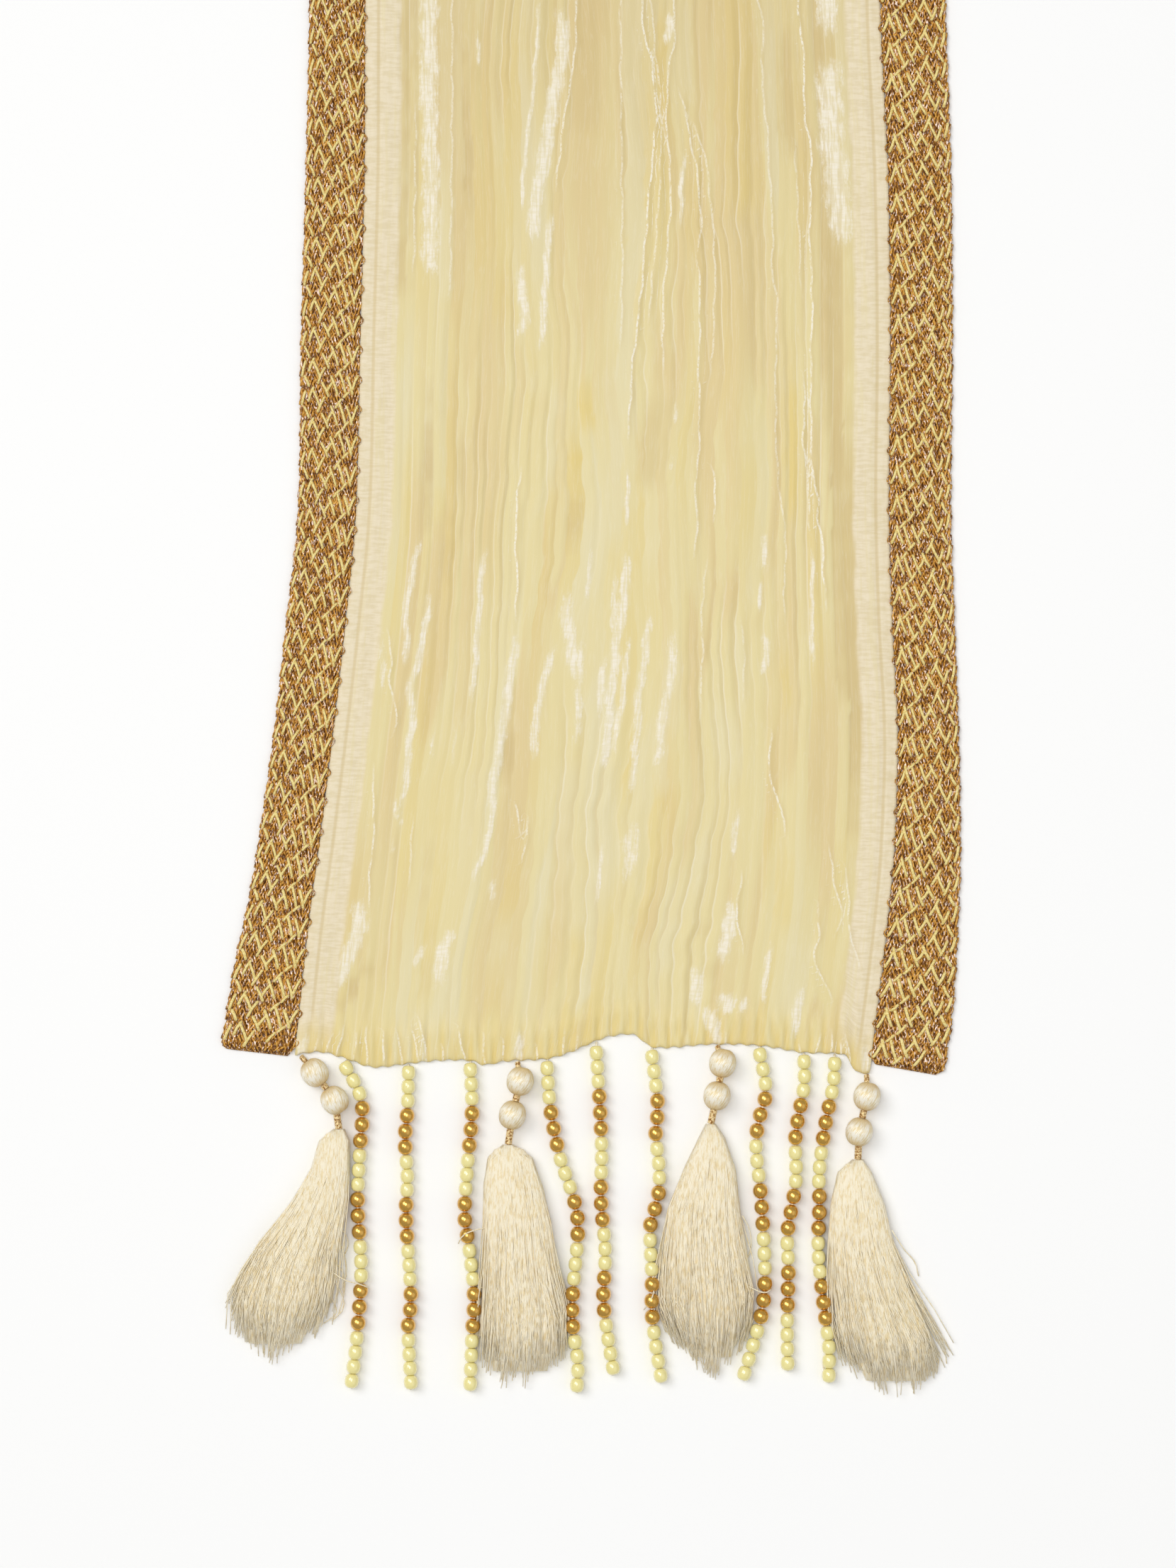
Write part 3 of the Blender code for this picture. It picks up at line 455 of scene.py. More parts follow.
def smooth_reader(keys: Sequence[float], values: Sequence[float]) -> Callable[[float], float]:
    """A smooth curve through a table's rows, sampled once a millimetre and then read quickly.

    Args:
        keys: The rows' places, rising.
        values: What the column holds there.

    Returns:
        A function that reads the column anywhere, level beyond its ends.
    """
    last = len(keys) - 1

    def exact(at: float) -> float:
        """The cubic through the two rows beside a place."""
        right = min(max(bisect_right(keys, at), 1), last)
        near = [min(max(n, 0), last) for n in range(right - 2, right + 2)]
        span = keys[right] - keys[right - 1]
        share = (at - keys[right - 1]) / span
        leave = (values[near[2]] - values[near[0]]) / (keys[near[2]] - keys[near[0]]) * span
        arrive = (values[near[3]] - values[near[1]]) / (keys[near[3]] - keys[near[1]]) * span
        return (
            values[near[1]] * (1 + 2 * share) * (1 - share) ** 2
            + leave * share * (1 - share) ** 2
            + values[near[2]] * share**2 * (3 - 2 * share)
            + arrive * share**2 * (share - 1)
        )

    steps = max(2, math.ceil(keys[-1] - keys[0]))
    step = (keys[-1] - keys[0]) / steps
    samples = [exact(keys[0] + number * step) for number in range(steps)] + [values[-1]]

    def read(at: float) -> float:
        """The column's value at a place."""
        place = min(max((at - keys[0]) / step, 0.0), steps - 1e-6)
        number = int(place)
        return samples[number] + (samples[number + 1] - samples[number]) * (place - number)

    return read


def column(table: Sequence[NamedTuple], name: str) -> Callable[[float], float]:
    """A named column of a table, as a smooth curve over the table's first column."""
    return smooth_reader([row[0] for row in table], [getattr(row, name) for row in table])


def bump(distance: float, half_width: float) -> float:
    """A smooth swell: 1 at its middle and 0 from half_width outwards."""
    return 0.5 + 0.5 * math.cos(math.pi * min(abs(distance) / half_width, 1.0))


def ease(value: float, low: float, high: float) -> float:
    """0 up to low, 1 from high, and smooth between."""
    share = min(max((value - low) / (high - low), 0.0), 1.0)
    return share * share * (3 - 2 * share)


def aimed(middle: Vector, way: Vector) -> Matrix:
    """Turns what stands along Z to a way, and moves it from the origin to a middle."""
    return Matrix.Translation(middle) @ way.to_track_quat("Z", "Y").to_matrix().to_4x4()


def linked(name: str, data: bpy.types.ID) -> bpy.types.Object:
    """An object with some data, in the scene."""
    made = bpy.data.objects.new(name, data)
    bpy.context.scene.collection.objects.link(made)
    return made


def finished(
    name: str, mesh: bpy.types.Mesh, materials: Iterable[bpy.types.Material]
) -> bpy.types.Object:
    """Links a piece whose place is in its mesh, dresses it, and lets it ride on the stole's body.

    Args:
        name: The piece's name.
        mesh: Its mesh, in metres.
        materials: Its materials, in the order of its faces' indices.

    Returns:
        The piece.
    """
    piece = linked(name, mesh)
    for material in materials:
        mesh.materials.append(material)
    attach(piece, BODY)
    return piece


def mesh_from(name: str, bm: bmesh.types.BMesh, smooth: bool = True) -> bpy.types.Mesh:
    """Turns a bmesh into a mesh and frees it."""
    mesh = bpy.data.meshes.new(name)
    bm.to_mesh(mesh)
    bm.free()
    if smooth:
        mesh.shade_smooth()
    return mesh


def absorb(bm: bmesh.types.BMesh, mesh: bpy.types.Mesh, material_index: int) -> None:
    """Adds a copy of a mesh to a bmesh, its faces taking one material.

    Args:
        bm: The bmesh.
        mesh: The mesh, which stays as it is.
        material_index: The material's number on the piece.
    """
    before = len(bm.faces)
    bm.from_mesh(mesh)
    bm.faces.ensure_lookup_table()
    for face in bm.faces[before:]:
        face.material_index = material_index


class Thread(NamedTuple):
    """One thread: its points in metres and its radius at each in millimetres."""

    points: list[Vector]
    radii: list[float]


@dataclass
class ThreadWork:
    """Many threads made together, as one joined mesh of thin tubes.

    Attributes:
        name: The mesh's name.
        resolution: The tubes' bevel resolution: 0 gives four sides and 1 six.
        threads: The threads gathered so far.
    """

    name: str
    resolution: int = 0
    threads: list[Thread] = field(default_factory=list)

    def add(self, points: list[Vector], radii: list[float]) -> None:
        """Adds a thread."""
        self.threads.append(Thread(points, radii))

    def mesh(self) -> bpy.types.Mesh:
        """Makes the tubes, with closed ends and their faces pointing out.

        Returns:
            The joined mesh.
        """
        curve = bpy.data.curves.new(self.name, "CURVE")
        curve.dimensions = "3D"
        curve.bevel_depth = MM
        curve.bevel_resolution = self.resolution
        curve.use_fill_caps = True
        for thread in self.threads:
            spline = curve.splines.new("POLY")
            spline.points.add(len(thread.points) - 1)
            for point, place, radius in zip(spline.points, thread.points, thread.radii):
                point.co = (*place, 1.0)
                point.radius = radius
        holder = linked(self.name, curve)
        evaluated = holder.evaluated_get(bpy.context.evaluated_depsgraph_get())
        made = bpy.data.meshes.new_from_object(evaluated)
        bpy.data.objects.remove(holder, do_unlink=True)
        bpy.data.curves.remove(curve)
        bm = bmesh.new()
        bm.from_mesh(made)
        bpy.data.meshes.remove(made)
        bmesh.ops.remove_doubles(bm, verts=bm.verts, dist=1e-6)
        bmesh.ops.recalc_face_normals(bm, faces=bm.faces)
        return mesh_from(self.name, bm)


# Finishes


def linear(hex_colour: str) -> tuple[float, float, float, float]:
    """An sRGB hex colour such as "#E6DAA4" as linear red, green, blue and alpha."""
    parts = [int(hex_colour[n : n + 2], 16) / 255 for n in (1, 3, 5)]
    curved = [p / 12.92 if p <= 0.04045 else ((p + 0.055) / 1.055) ** 2.4 for p in parts]
    return (*curved, 1.0)


def add_node(
    tree: bpy.types.NodeTree, kind: str, inputs: dict | None = None, **settings: object
) -> bpy.types.Node:
    """Adds a node with its settings, and gives its inputs their values or links.

    Args:
        tree: The material's node tree.
        kind: The node's type.
        inputs: What each input takes, by the socket's name or number: a value or another
            node's output.
        **settings: The node's own properties.

    Returns:
        The node.
    """
    node = tree.nodes.new(kind)
    for name, value in settings.items():
        setattr(node, name, value)
    for socket, value in (inputs or {}).items():
        if isinstance(value, bpy.types.NodeSocket):
            tree.links.new(value, node.inputs[socket])
        else:
            node.inputs[socket].default_value = value
    return node


class Surface:
    """A material's node tree with its Principled shader, and short ways to pattern it."""

    def __init__(self, name: str, **constants: object) -> None:
        """Starts a material.

        Args:
            name: The material's name.
            **constants: Values of the shader's own sockets, with _ for each space.
        """
        self.material = bpy.data.materials.new(name)
        self.material.use_nodes = True
        self.tree = self.material.node_tree
        self.shader = self.tree.nodes["Principled BSDF"]
        for socket, value in constants.items():
            self.shader.inputs[socket.replace("_", " ")].default_value = value

    def attribute(self, name: str) -> object:
        """A vector attribute's output."""
        return add_node(self.tree, "ShaderNodeAttribute", attribute_name=name).outputs["Vector"]

    def cells(
        self, size: Sequence[float], detail: float, rough: float = 0.5, on: str = ""
    ) -> object:
        """Noise from 0 to 1 that follows Object coordinates or an attribute.

        Args:
            size: A cell's size along X, Y and Z: millimetres, or the attribute's own units.
            detail: The noise's detail.
            rough: Its roughness.
            on: The attribute's name, or empty for Object coordinates.

        Returns:
            The noise's output.
        """
        unit = 1.0 if on else MM
        if on:
            source = self.attribute(on)
        else:
            source = add_node(self.tree, "ShaderNodeTexCoord").outputs["Object"]
        inputs = {"Vector": source, "Scale": tuple(1 / (part * unit) for part in size)}
        place = add_node(self.tree, "ShaderNodeMapping", inputs).outputs[0]
        return self.noise(place, detail, rough)

    def noise(self, vector: object, detail: float, rough: float = 0.5) -> object:
        """Noise with one cell for each unit of a vector, from 0 to 1."""
        inputs = {"Vector": vector, "Scale": 1.0, "Detail": detail, "Roughness": rough}
        return add_node(self.tree, "ShaderNodeTexNoise", inputs).outputs[0]

    def math(self, operation: str, *values: object) -> object:
        """A Math node's output."""
        node = add_node(self.tree, "ShaderNodeMath", dict(enumerate(values)), operation=operation)
        return node.outputs[0]

    def times(self, first: object, second: object) -> object:
        """Two values multiplied."""
        return self.math("MULTIPLY", first, second)

    def between(self, value: object, low: float, high: float) -> object:
        """A value taken smoothly from low, which gives 0, to high, which gives 1."""
        inputs = {"Value": value, "From Min": low, "From Max": high}
        node = add_node(
            self.tree, "ShaderNodeMapRange", inputs, interpolation_type="SMOOTHSTEP"
        )
        return node.outputs[0]

    def mix(self, factor: object, first: object, second: object) -> object:
        """A colour between two, each an output or an sRGB hex colour."""
        first, second = (linear(c) if isinstance(c, str) else c for c in (first, second))
        inputs = {0: factor, 6: first, 7: second}
        return add_node(self.tree, "ShaderNodeMix", inputs, data_type="RGBA").outputs[2]

    def tint(self, colour: object, amount: object, most: float, other: object) -> object:
        """A colour drawn towards another, by an amount from 0 to 1 times the most."""
        return self.mix(self.times(amount, most), colour, other)

    def vector(self, *parts: object) -> object:
        """A vector of up to three numbers or outputs."""
        return add_node(self.tree, "ShaderNodeCombineXYZ", dict(enumerate(parts))).outputs[0]

    def parts(self, attribute: str) -> tuple[object, object, object]:
        """The three numbers of a vector attribute."""
        split = add_node(self.tree, "ShaderNodeSeparateXYZ", {0: self.attribute(attribute)})
        return tuple(split.outputs)

    def colour(self, output: object) -> None:
        """Gives the shader its colour."""
        self.tree.links.new(output, self.shader.inputs["Base Color"])

    def roughness(self, output: object) -> None:
        """Gives the shader its roughness."""
        self.tree.links.new(output, self.shader.inputs["Roughness"])

    def relief(self, height: object, millimetres: float) -> None:
        """Gives the shader a bump whose heights from 0 to 1 stand for so many millimetres."""
        inputs = {"Height": height, "Distance": millimetres * MM, "Strength": 1.0}
        node = add_node(self.tree, "ShaderNodeBump", inputs)
        self.tree.links.new(node.outputs[0], self.shader.inputs["Normal"])


@dataclass(frozen=True)
class CrushedVelvet:
    """Silk velvet, woven with a cut pile and then crushed and crinkled wet.

    Pressed pile is satiny, and each crinkle has its own tone as its pile leans: lemon, tan, yellow
    or a pale greenish cream. Pile that stands, along the margins and in ragged streaks, is matt
    and nearly white, with fine ribs across the cloth; the near-white and the ribs' lighter tops
    are painted sheen. Painted shade darkens the tan hollows, each crinkle's far side, the margins'
    groove and one side of each crest line, and painted highlights light the crinkles' near edges,
    fine hairlines and the crest lines.
    """

    lemon: str = "#E6D7A0"
    tan: str = "#E1CC95"
    # painted shade: hollows, crinkles' far sides, the margins' groove, one side of crest lines
    hollow: str = "#D2BA82"
    yellow: str = "#E4CC7E"
    pale: str = "#E6DAAD"
    # painted sheen: the near-white of standing pile where it catches the light
    standing: str = "#F8F0DE"
    margin_light: str = "#F2E5CA"
    margin_shade: str = "#DDCCA2"
    # painted highlight: crest lines, hairlines and crinkles' lit edges; also the real sheen's tint
    crest: str = "#F6EFDC"
    tone_length: float = 150.0
    broad: tuple[float, float] = (34.0, 260.0)  # cells across and along, as below
    line: tuple[float, float] = (1.9, 48.0)
    rib: tuple[float, float] = (6.0, 1.1)  # drawn coarser than real pile rows, so that they show
    blotch: tuple[float, float] = (1.7, 6.5)
    streak: tuple[float, float] = (0.9, 11.0)
    grain: tuple[float, float] = (0.7, 0.7 / 0.6)
    photographed: float = 450.0
    flat_width: float = 228.0
    groove: float = 5.6

    def make(self) -> bpy.types.Material:
        """Builds the material."""
        velvet = Surface(
            "crushed_silk_velvet",
            Sheen_Weight=0.2,
            Sheen_Roughness=0.35,
            Sheen_Tint=linear(self.crest),
            Specular_IOR_Level=0.3,
        )
        tan, yellow, pale = velvet.parts("tints")
        pile, line_place, line_strength = velvet.parts("marks")
        margin, hem, crinkle = velvet.parts("zones")
        track, up, crispness = velvet.parts("flow")

        def over(size: tuple[float, float], detail: float, rough: float = 0.5) -> object:
            """Noise over the flat cloth."""
            return velvet.cells((*size, 1.0), detail, rough, "flow")

        number = velvet.math("FLOOR", crinkle)
        inside = velvet.math("FRACT", crinkle)
        along = velvet.math("DIVIDE", up, self.tone_length)
        toned = velvet.noise(velvet.vector(velvet.times(number, 3.71), along), 1.0)
        own = velvet.math("MULTIPLY_ADD", number, 5.13, 40.0)
        warmth = velvet.noise(velvet.vector(own, along), 1.0)
        own = velvet.math("MULTIPLY_ADD", number, 7.9, 90.0)
        crisp = velvet.noise(velvet.vector(own, along, 3.0), 1.0)
        broad = over(self.broad, 1.0)
        lines = over(self.line, 3.0, 0.6)
        ribs = over(self.rib, 2.0)
        blotch = over(self.blotch, 4.0, 0.6)
        grain = over(self.grain, 3.0, 0.7)
        streaks = over(self.streak, 2.0, 0.6)

        tone = velvet.math("MULTIPLY_ADD", broad, 0.6, velvet.times(toned, 0.45))
        colour = velvet.mix(velvet.between(tone, 0.40, 0.54), self.tan, self.lemon)
        colour = velvet.mix(velvet.between(tone, 0.54, 0.66), colour, self.pale)
        colour = velvet.tint(colour, velvet.between(warmth, 0.50, 0.70), 0.4, self.yellow)
        # darker from partway up the picture onwards, towards the painted shade colour
        farther = velvet.between(up, 0.6 * self.photographed, 1.1 * self.photographed)
        for amount, most, other in (
            (pale, 0.85, self.pale),
            (yellow, 0.7, self.yellow),
            (tan, 0.8, self.hollow),
            # a deeper yellow near the hem, most in the gathers' hollows as painted shade
            (hem, 0.75, self.yellow),
            (farther, 0.44, self.hollow),
        ):
            colour = velvet.tint(colour, amount, most, other)

        strength = velvet.times(velvet.between(crisp, 0.36, 0.60), crispness)
        shaded = velvet.times(velvet.between(inside, 0.5, 1.0), strength)
        colour = velvet.tint(colour, shaded, 0.36, self.hollow)
        lit = velvet.times(velvet.between(inside, 0.16, 0.02), strength)
        colour = velvet.tint(colour, lit, 0.45, self.crest)
        # fine light hairlines: painted highlights
        from_line = velvet.math("ABSOLUTE", velvet.math("SUBTRACT", lines, 0.5))
        hair = velvet.between(from_line, 0.03, 0.0)
        colour = velvet.tint(colour, hair, 0.12, self.crest)

        # standing pile: its near-white is painted sheen where the pile catches the light, lighter
        # on its ribs
        ragged = velvet.math("MULTIPLY_ADD", blotch, 1.7, velvet.times(grain, 0.7))
        standing = velvet.between(velvet.math("ADD", pile, ragged), 1.36, 2.0)
        standing = velvet.times(standing, velvet.between(pile, 0.02, 0.25))
        streaked = velvet.math("MULTIPLY_ADD", velvet.between(streaks, 0.38, 0.58), 0.62, 0.38)
        standing = velvet.times(standing, streaked)
        rib = velvet.between(ribs, 0.36, 0.62)
        rib_light = velvet.math("MULTIPLY_ADD", rib, 0.4, 0.6)
        ribbed_sheen = velvet.mix(rib_light, self.pale, self.standing)
        colour = velvet.tint(colour, pile, 0.4, self.pale)
        colour = velvet.tint(colour, standing, 0.95, ribbed_sheen)

        # margins: ribs and patches painted lighter and darker as light and shade, then painted
        # shade along the groove
        painted_light = velvet.math("MULTIPLY_ADD", rib, 0.4, velvet.times(blotch, 0.7))
        woven = velvet.mix(painted_light, self.margin_shade, self.margin_light)
        right = velvet.math("SUBTRACT", self.flat_width, track)
        from_edge = velvet.math("MINIMUM", track, right)
        from_groove = velvet.math("ABSOLUTE", velvet.math("SUBTRACT", from_edge, self.groove))
        woven = velvet.tint(woven, velvet.between(from_groove, 1.1, 0.2), 0.5, self.hollow)
        pressed = velvet.times(velvet.between(lines, 0.50, 0.62), 0.3)
        inner = velvet.between(from_edge, self.groove, self.groove + 2.0)
        woven = velvet.mix(velvet.times(pressed, inner), woven, self.lemon)
        colour = velvet.tint(colour, margin, 0.95, woven)

        shade = velvet.between(line_place, 2.2, 0.6)
        beside = velvet.times(shade, velvet.between(line_place, 0.0, 0.5))
        colour = velvet.tint(colour, velvet.times(beside, line_strength), 0.3, self.hollow)
        # the crest lines: broken, dotted painted highlights
        near = velvet.between(velvet.math("ABSOLUTE", line_place), 0.62, 0.22)
        specks = velvet.between(grain, 0.36, 0.54)
        broken = velvet.times(specks, velvet.between(blotch, 0.32, 0.52))
        crest = velvet.times(velvet.times(near, line_strength), broken)
        colour = velvet.tint(colour, crest, 0.95, self.crest)
        velvet.colour(colour)

        velvet.roughness(velvet.math("MULTIPLY_ADD", standing, 0.3, 0.5))
        tall = velvet.times(ribs, velvet.math("MAXIMUM", standing, margin))
        low = velvet.math("MULTIPLY_ADD", grain, 0.06, velvet.times(lines, 0.16))
        velvet.relief(velvet.math("MULTIPLY_ADD", tall, 0.3, low), 0.4)
        return velvet.material


@dataclass(frozen=True)
class LameYarn:
    """Bundles of metal-wrapped yarn: antique gold, dark between the turns, with pinkish glints."""

    gold: str = "#C2892F"
    bright: str = "#E2B055"
    shadow: str = "#724518"
    glint: str = "#FFE9DA"
    turn: float = 0.7
    turn_length: float = 2.3
    glint_size: float = 0.8

    def make(self) -> bpy.types.Material:
        """Builds the material."""
        yarn = Surface("metallic_yarn", Metallic=0.25, Roughness=0.4, Specular_IOR_Level=0.4)
        size = (self.turn, self.turn_length, self.turn)
        turns = yarn.cells(size, 1.0)
        spots = yarn.cells([part * self.glint_size for part in size], 1.0)
        # painted shade between the turns, painted highlights on them, and painted pinkish glints
        colour = yarn.mix(yarn.between(turns, 0.38, 0.52), self.shadow, self.gold)
        colour = yarn.mix(yarn.between(turns, 0.54, 0.68), colour, self.bright)
        yarn.colour(yarn.mix(yarn.between(spots, 0.59, 0.65), colour, self.glint))
        yarn.relief(turns, 0.3)
        return yarn.material


@dataclass(frozen=True)
class PlaitGround:
    """The inside of the plait: yarns that lie deeper, in shade, with a few glints."""

    brown: str = "#A06A2C"
    shadow: str = "#6E4216"
    glint: str = "#EBCFB0"
    turn: float = 1.0

    def make(self) -> bpy.types.Material:
        """Builds the material."""
        ground = Surface("plait_ground", Roughness=0.6, Metallic=0.2)
        turns = ground.cells((self.turn,) * 3, 2.0)
        spots = ground.cells((self.turn / 1.7,) * 3, 1.0)
        colour = ground.mix(ground.between(turns, 0.36, 0.6), self.shadow, self.brown)
        ground.colour(ground.mix(ground.between(spots, 0.62, 0.7), colour, self.glint))
        return ground.material


@dataclass(frozen=True)
class SilkCord:
    """A thin twisted cord of yellow silk, with a soft lustre."""

    light: str = "#FAE89E"
    dark: str = "#E4C770"
    twist: float = 0.7

    def make(self) -> bpy.types.Material:
        """Builds the material."""
        cord = Surface("yellow_silk_cord", Roughness=0.5, Sheen_Weight=0.2)
        strands = cord.cells((self.twist,) * 3, 1.0)
        cord.colour(cord.mix(cord.between(strands, 0.35, 0.6), self.dark, self.light))
        cord.relief(strands, 0.2)
        return cord.material


@dataclass(frozen=True)
class BeadGlass:
    """A pressed bead under a pearl or metal lustre, whose coat throws a small white glint."""

    name: str
    colour: str
    metallic: float
    rough: float
    lustre: float

    def make(self) -> bpy.types.Material:
        """Builds the material."""
        bead = Surface(
            self.name,
            Base_Color=linear(self.colour),
            Metallic=self.metallic,
            Roughness=self.rough,
            Coat_Weight=1.0,
            Coat_Roughness=0.12,
            Coat_IOR=self.lustre,
        )
        return bead.material


@dataclass(frozen=True)
class WoundSilk:
    """Floss silk wound from pole to pole, whose threads catch the light in fine lines."""

    light: str = "#FFF9E8"
    shade: str = "#E8D3A0"
    # painted shade towards the ball's poles
    pole: str = "#E0C284"
    threads: float = 46.0

    def make(self) -> bpy.types.Material:
        """Builds the material, whose winding and shine follow the ball's own angles."""
        shine = {"Specular_IOR_Level": 1.0, "Anisotropic": 0.85}
        silk = Surface("wound_floss_silk", Metallic=0.1, Roughness=0.48, **shine)
        silk.tree.links.new(silk.attribute("around"), silk.shader.inputs["Tangent"])
        wind = silk.cells((1 / self.threads, 1 / 1.5, 1.0), 3.0, 0.6, "winding")
        patch = silk.cells((0.2, 0.5, 1.0), 2.0, on="winding")
        colour = silk.mix(silk.between(wind, 0.38, 0.56), self.shade, self.light)
        colour = silk.tint(colour, silk.between(patch, 0.5, 0.7), 0.3, self.shade)
        # painted shade towards the poles, leaving a lighter band of sheen round the middle
        place = silk.math("ABSOLUTE", silk.parts("winding")[1])
        silk.colour(silk.tint(colour, silk.between(place, 0.3, 0.95), 0.8, self.pole))
        silk.relief(wind, 0.3)
        return silk.material


@dataclass(frozen=True)
class TasselSilk:
    """Loose matt silk threads, ivory, streaked with tan painted shade."""

    light: str = "#FCF2D8"
    shade: str = "#EEDAAA"
    strand: float = 0.8
    length: float = 4.0

    def make(self) -> bpy.types.Material:
        """Builds the material, streaked along the threads."""
        silk = Surface("tassel_floss", Roughness=0.55, Sheen_Weight=0.3, Sheen_Roughness=0.45)
        strands = silk.cells((self.strand, self.length, self.strand), 3.0, 0.7)
        silk.colour(silk.mix(silk.between(strands, 0.33, 0.58), self.shade, self.light))
        silk.relief(strands, 0.15)
        return silk.material


@dataclass(frozen=True)
class GiltWire:
    """Fine gilt wire, drawn and wound close, patched from brown to near-white painted glints."""

    bright: str = "#FFE9B4"
    dark: str = "#A87430"
    glint_patch_size: float = 0.9

    def make(self) -> bpy.types.Material:
        """Builds the material."""
        wire = Surface("gilt_wire", Metallic=0.35, Roughness=0.28)
        painted_light = wire.cells((self.glint_patch_size,) * 3, 2.0)
        wire.colour(wire.mix(wire.between(painted_light, 0.35, 0.6), self.dark, self.bright))
        wire.relief(painted_light, 0.1)
        return wire.material


# The cloth's plan


@dataclass
class ClothPlan:
    """Where the velvet lies between the braids, as in the construction.

    A track is a line up the cloth, named by its place in millimetres on the flat cloth: the left
    margin, then the crinkled zone, then the right margin.

    Attributes:
        margin: The flat margins' width.
        zone: The crinkled zone's width on the flat, crinkled cloth.
        hem_reach: How far up the cloth the hem's uneven line is felt.
        far_wave: How uneven the far hem is.
    """

    margin: float = 14.0
    zone: float = 200.0
    hem_reach: float = 60.0
    far_wave: float = 1.6

    def __post_init__(self) -> None:
        """Reads the outline's columns once."""
        self.left_edge = column(OUTLINE, "left_edge")
        self.left_braid = column(OUTLINE, "left_braid")
        self.right_braid = column(OUTLINE, "right_braid")
        self.right_edge = column(OUTLINE, "right_edge")
        self.hem_down = column(NEAR_HEM, "down")

    @property
    def width(self) -> float:
        """The whole track width, margins included."""
        return self.zone + 2 * self.margin

    def crinkled(self, up: float) -> tuple[float, float]:
        """Where the crinkled zone starts across the cloth, and its width, at a place up it."""
        left = self.left_braid(up) + SEAM_GAP + self.margin
        return left, self.right_braid(up) - SEAM_GAP - self.margin - left

    def across(self, track: float, up: float) -> float:
        """Where a track lies across: crinkles drift sideways, and margins run straight."""
        start, width = self.crinkled(up)
        share = (track - self.margin) / self.zone
        if share <= 0:
            return start + track - self.margin
        if share >= 1:
            return start + width + track - self.margin - self.zone
        drift = 1.5 * math.sin(TAU * (up / 183.0 + 2.3 * share))
        drift += 0.9 * math.sin(TAU * (up / 97.0 - 3.1 * share + 0.2))
        return start + share * width + drift * math.sin(math.pi * share)

    def with_hem(self, across: float, up: float) -> float:
        """How far up a place truly lies, with the uneven lines of the hems at both ends."""
        near = -self.hem_down(across) * max(1.0 - up / self.hem_reach, 0.0)
        near += 0.4 * math.sin(TAU * across / 5.6) * max(1.0 - up / 6.0, 0.0)
        wave = self.far_wave * math.sin(across / 17.0) * math.cos(across / 41.0)
        return up + near + wave * max(1.0 - (CLOTH_LENGTH - up) / self.hem_reach, 0.0)


@dataclass
class Crinkles:
    """The panel's crinkles, drawn as the construction draws them, with rounded sides.

    Attributes:
        count: How many crinkles lie across the cloth.
        seed: The random seed.
        valley: A valley's height.
        lowest: The lowest crest over the valleys.
        highest: The highest crest over the valleys.
    """

    count: int = 40
    seed: int = 7
    valley: float = 1.2
    lowest: float = 0.6
    highest: float = 1.6

    def __post_init__(self) -> None:
        """Draws each crinkle's place, height, length and phase."""
        rng = Random(self.seed)
        steps = [rng.uniform(0.65, 1.35) for _ in range(self.count)]
        total = sum(steps)
        self.starts = [sum(steps[:n]) / total for n in range(self.count + 1)]
        self.heights = [rng.uniform(self.lowest, self.highest) for _ in range(self.count)]
        self.lengths = [rng.uniform(110.0, 300.0) for _ in range(self.count)]
        self.phases = [rng.uniform(0.0, TAU) for _ in range(self.count)]
        self.shares = [0.0]
        self.crests: list[int | None] = [None]
        for number in range(self.count):
            lean = rng.uniform(0.3, 0.7)
            if number:
                self.shares.append(self.starts[number])
                self.crests.append(None)
            step = self.starts[number + 1] - self.starts[number]
            self.shares.append(self.starts[number] + lean * step)
            self.crests.append(number)
        self.shares.append(1.0)
        self.crests.append(None)

    def node(self, index: int, up: float) -> float:
        """How far a valley or crest stands over the valleys, at a place up the cloth."""
        number = self.crests[index]
        if number is None:
            return 0.3 if index in (0, len(self.shares) - 1) else 0.0
        swing = math.sin(TAU * up / self.lengths[number] + self.phases[number])
        return self.heights[number] * (0.72 + 0.28 * swing)

    def number(self, share: float) -> float:
        """Which crinkle a share of the way across lies in, with its place inside that crinkle."""
        right = min(max(bisect_right(self.starts, share), 1), self.count)
        low, high = self.starts[right - 1], self.starts[right]
        return right - 1 + min(max((share - low) / (high - low), 0.0), 0.999)

    def rise(self, share: float, up: float) -> float:
        """The crinkles' height over the valleys at a share of the way across their zone."""
        right = min(max(bisect_right(self.shares, share), 1), len(self.shares) - 1)
        low, high = self.shares[right - 1], self.shares[right]
        blend = ease(share, low, high)
        return self.node(right - 1, up) * (1 - blend) + self.node(right, up) * blend


class Trace(NamedTuple):
    """A stroke where it passes one place up the cloth."""

    mark: Mark
    centre: float
    half_width: float
    value: float


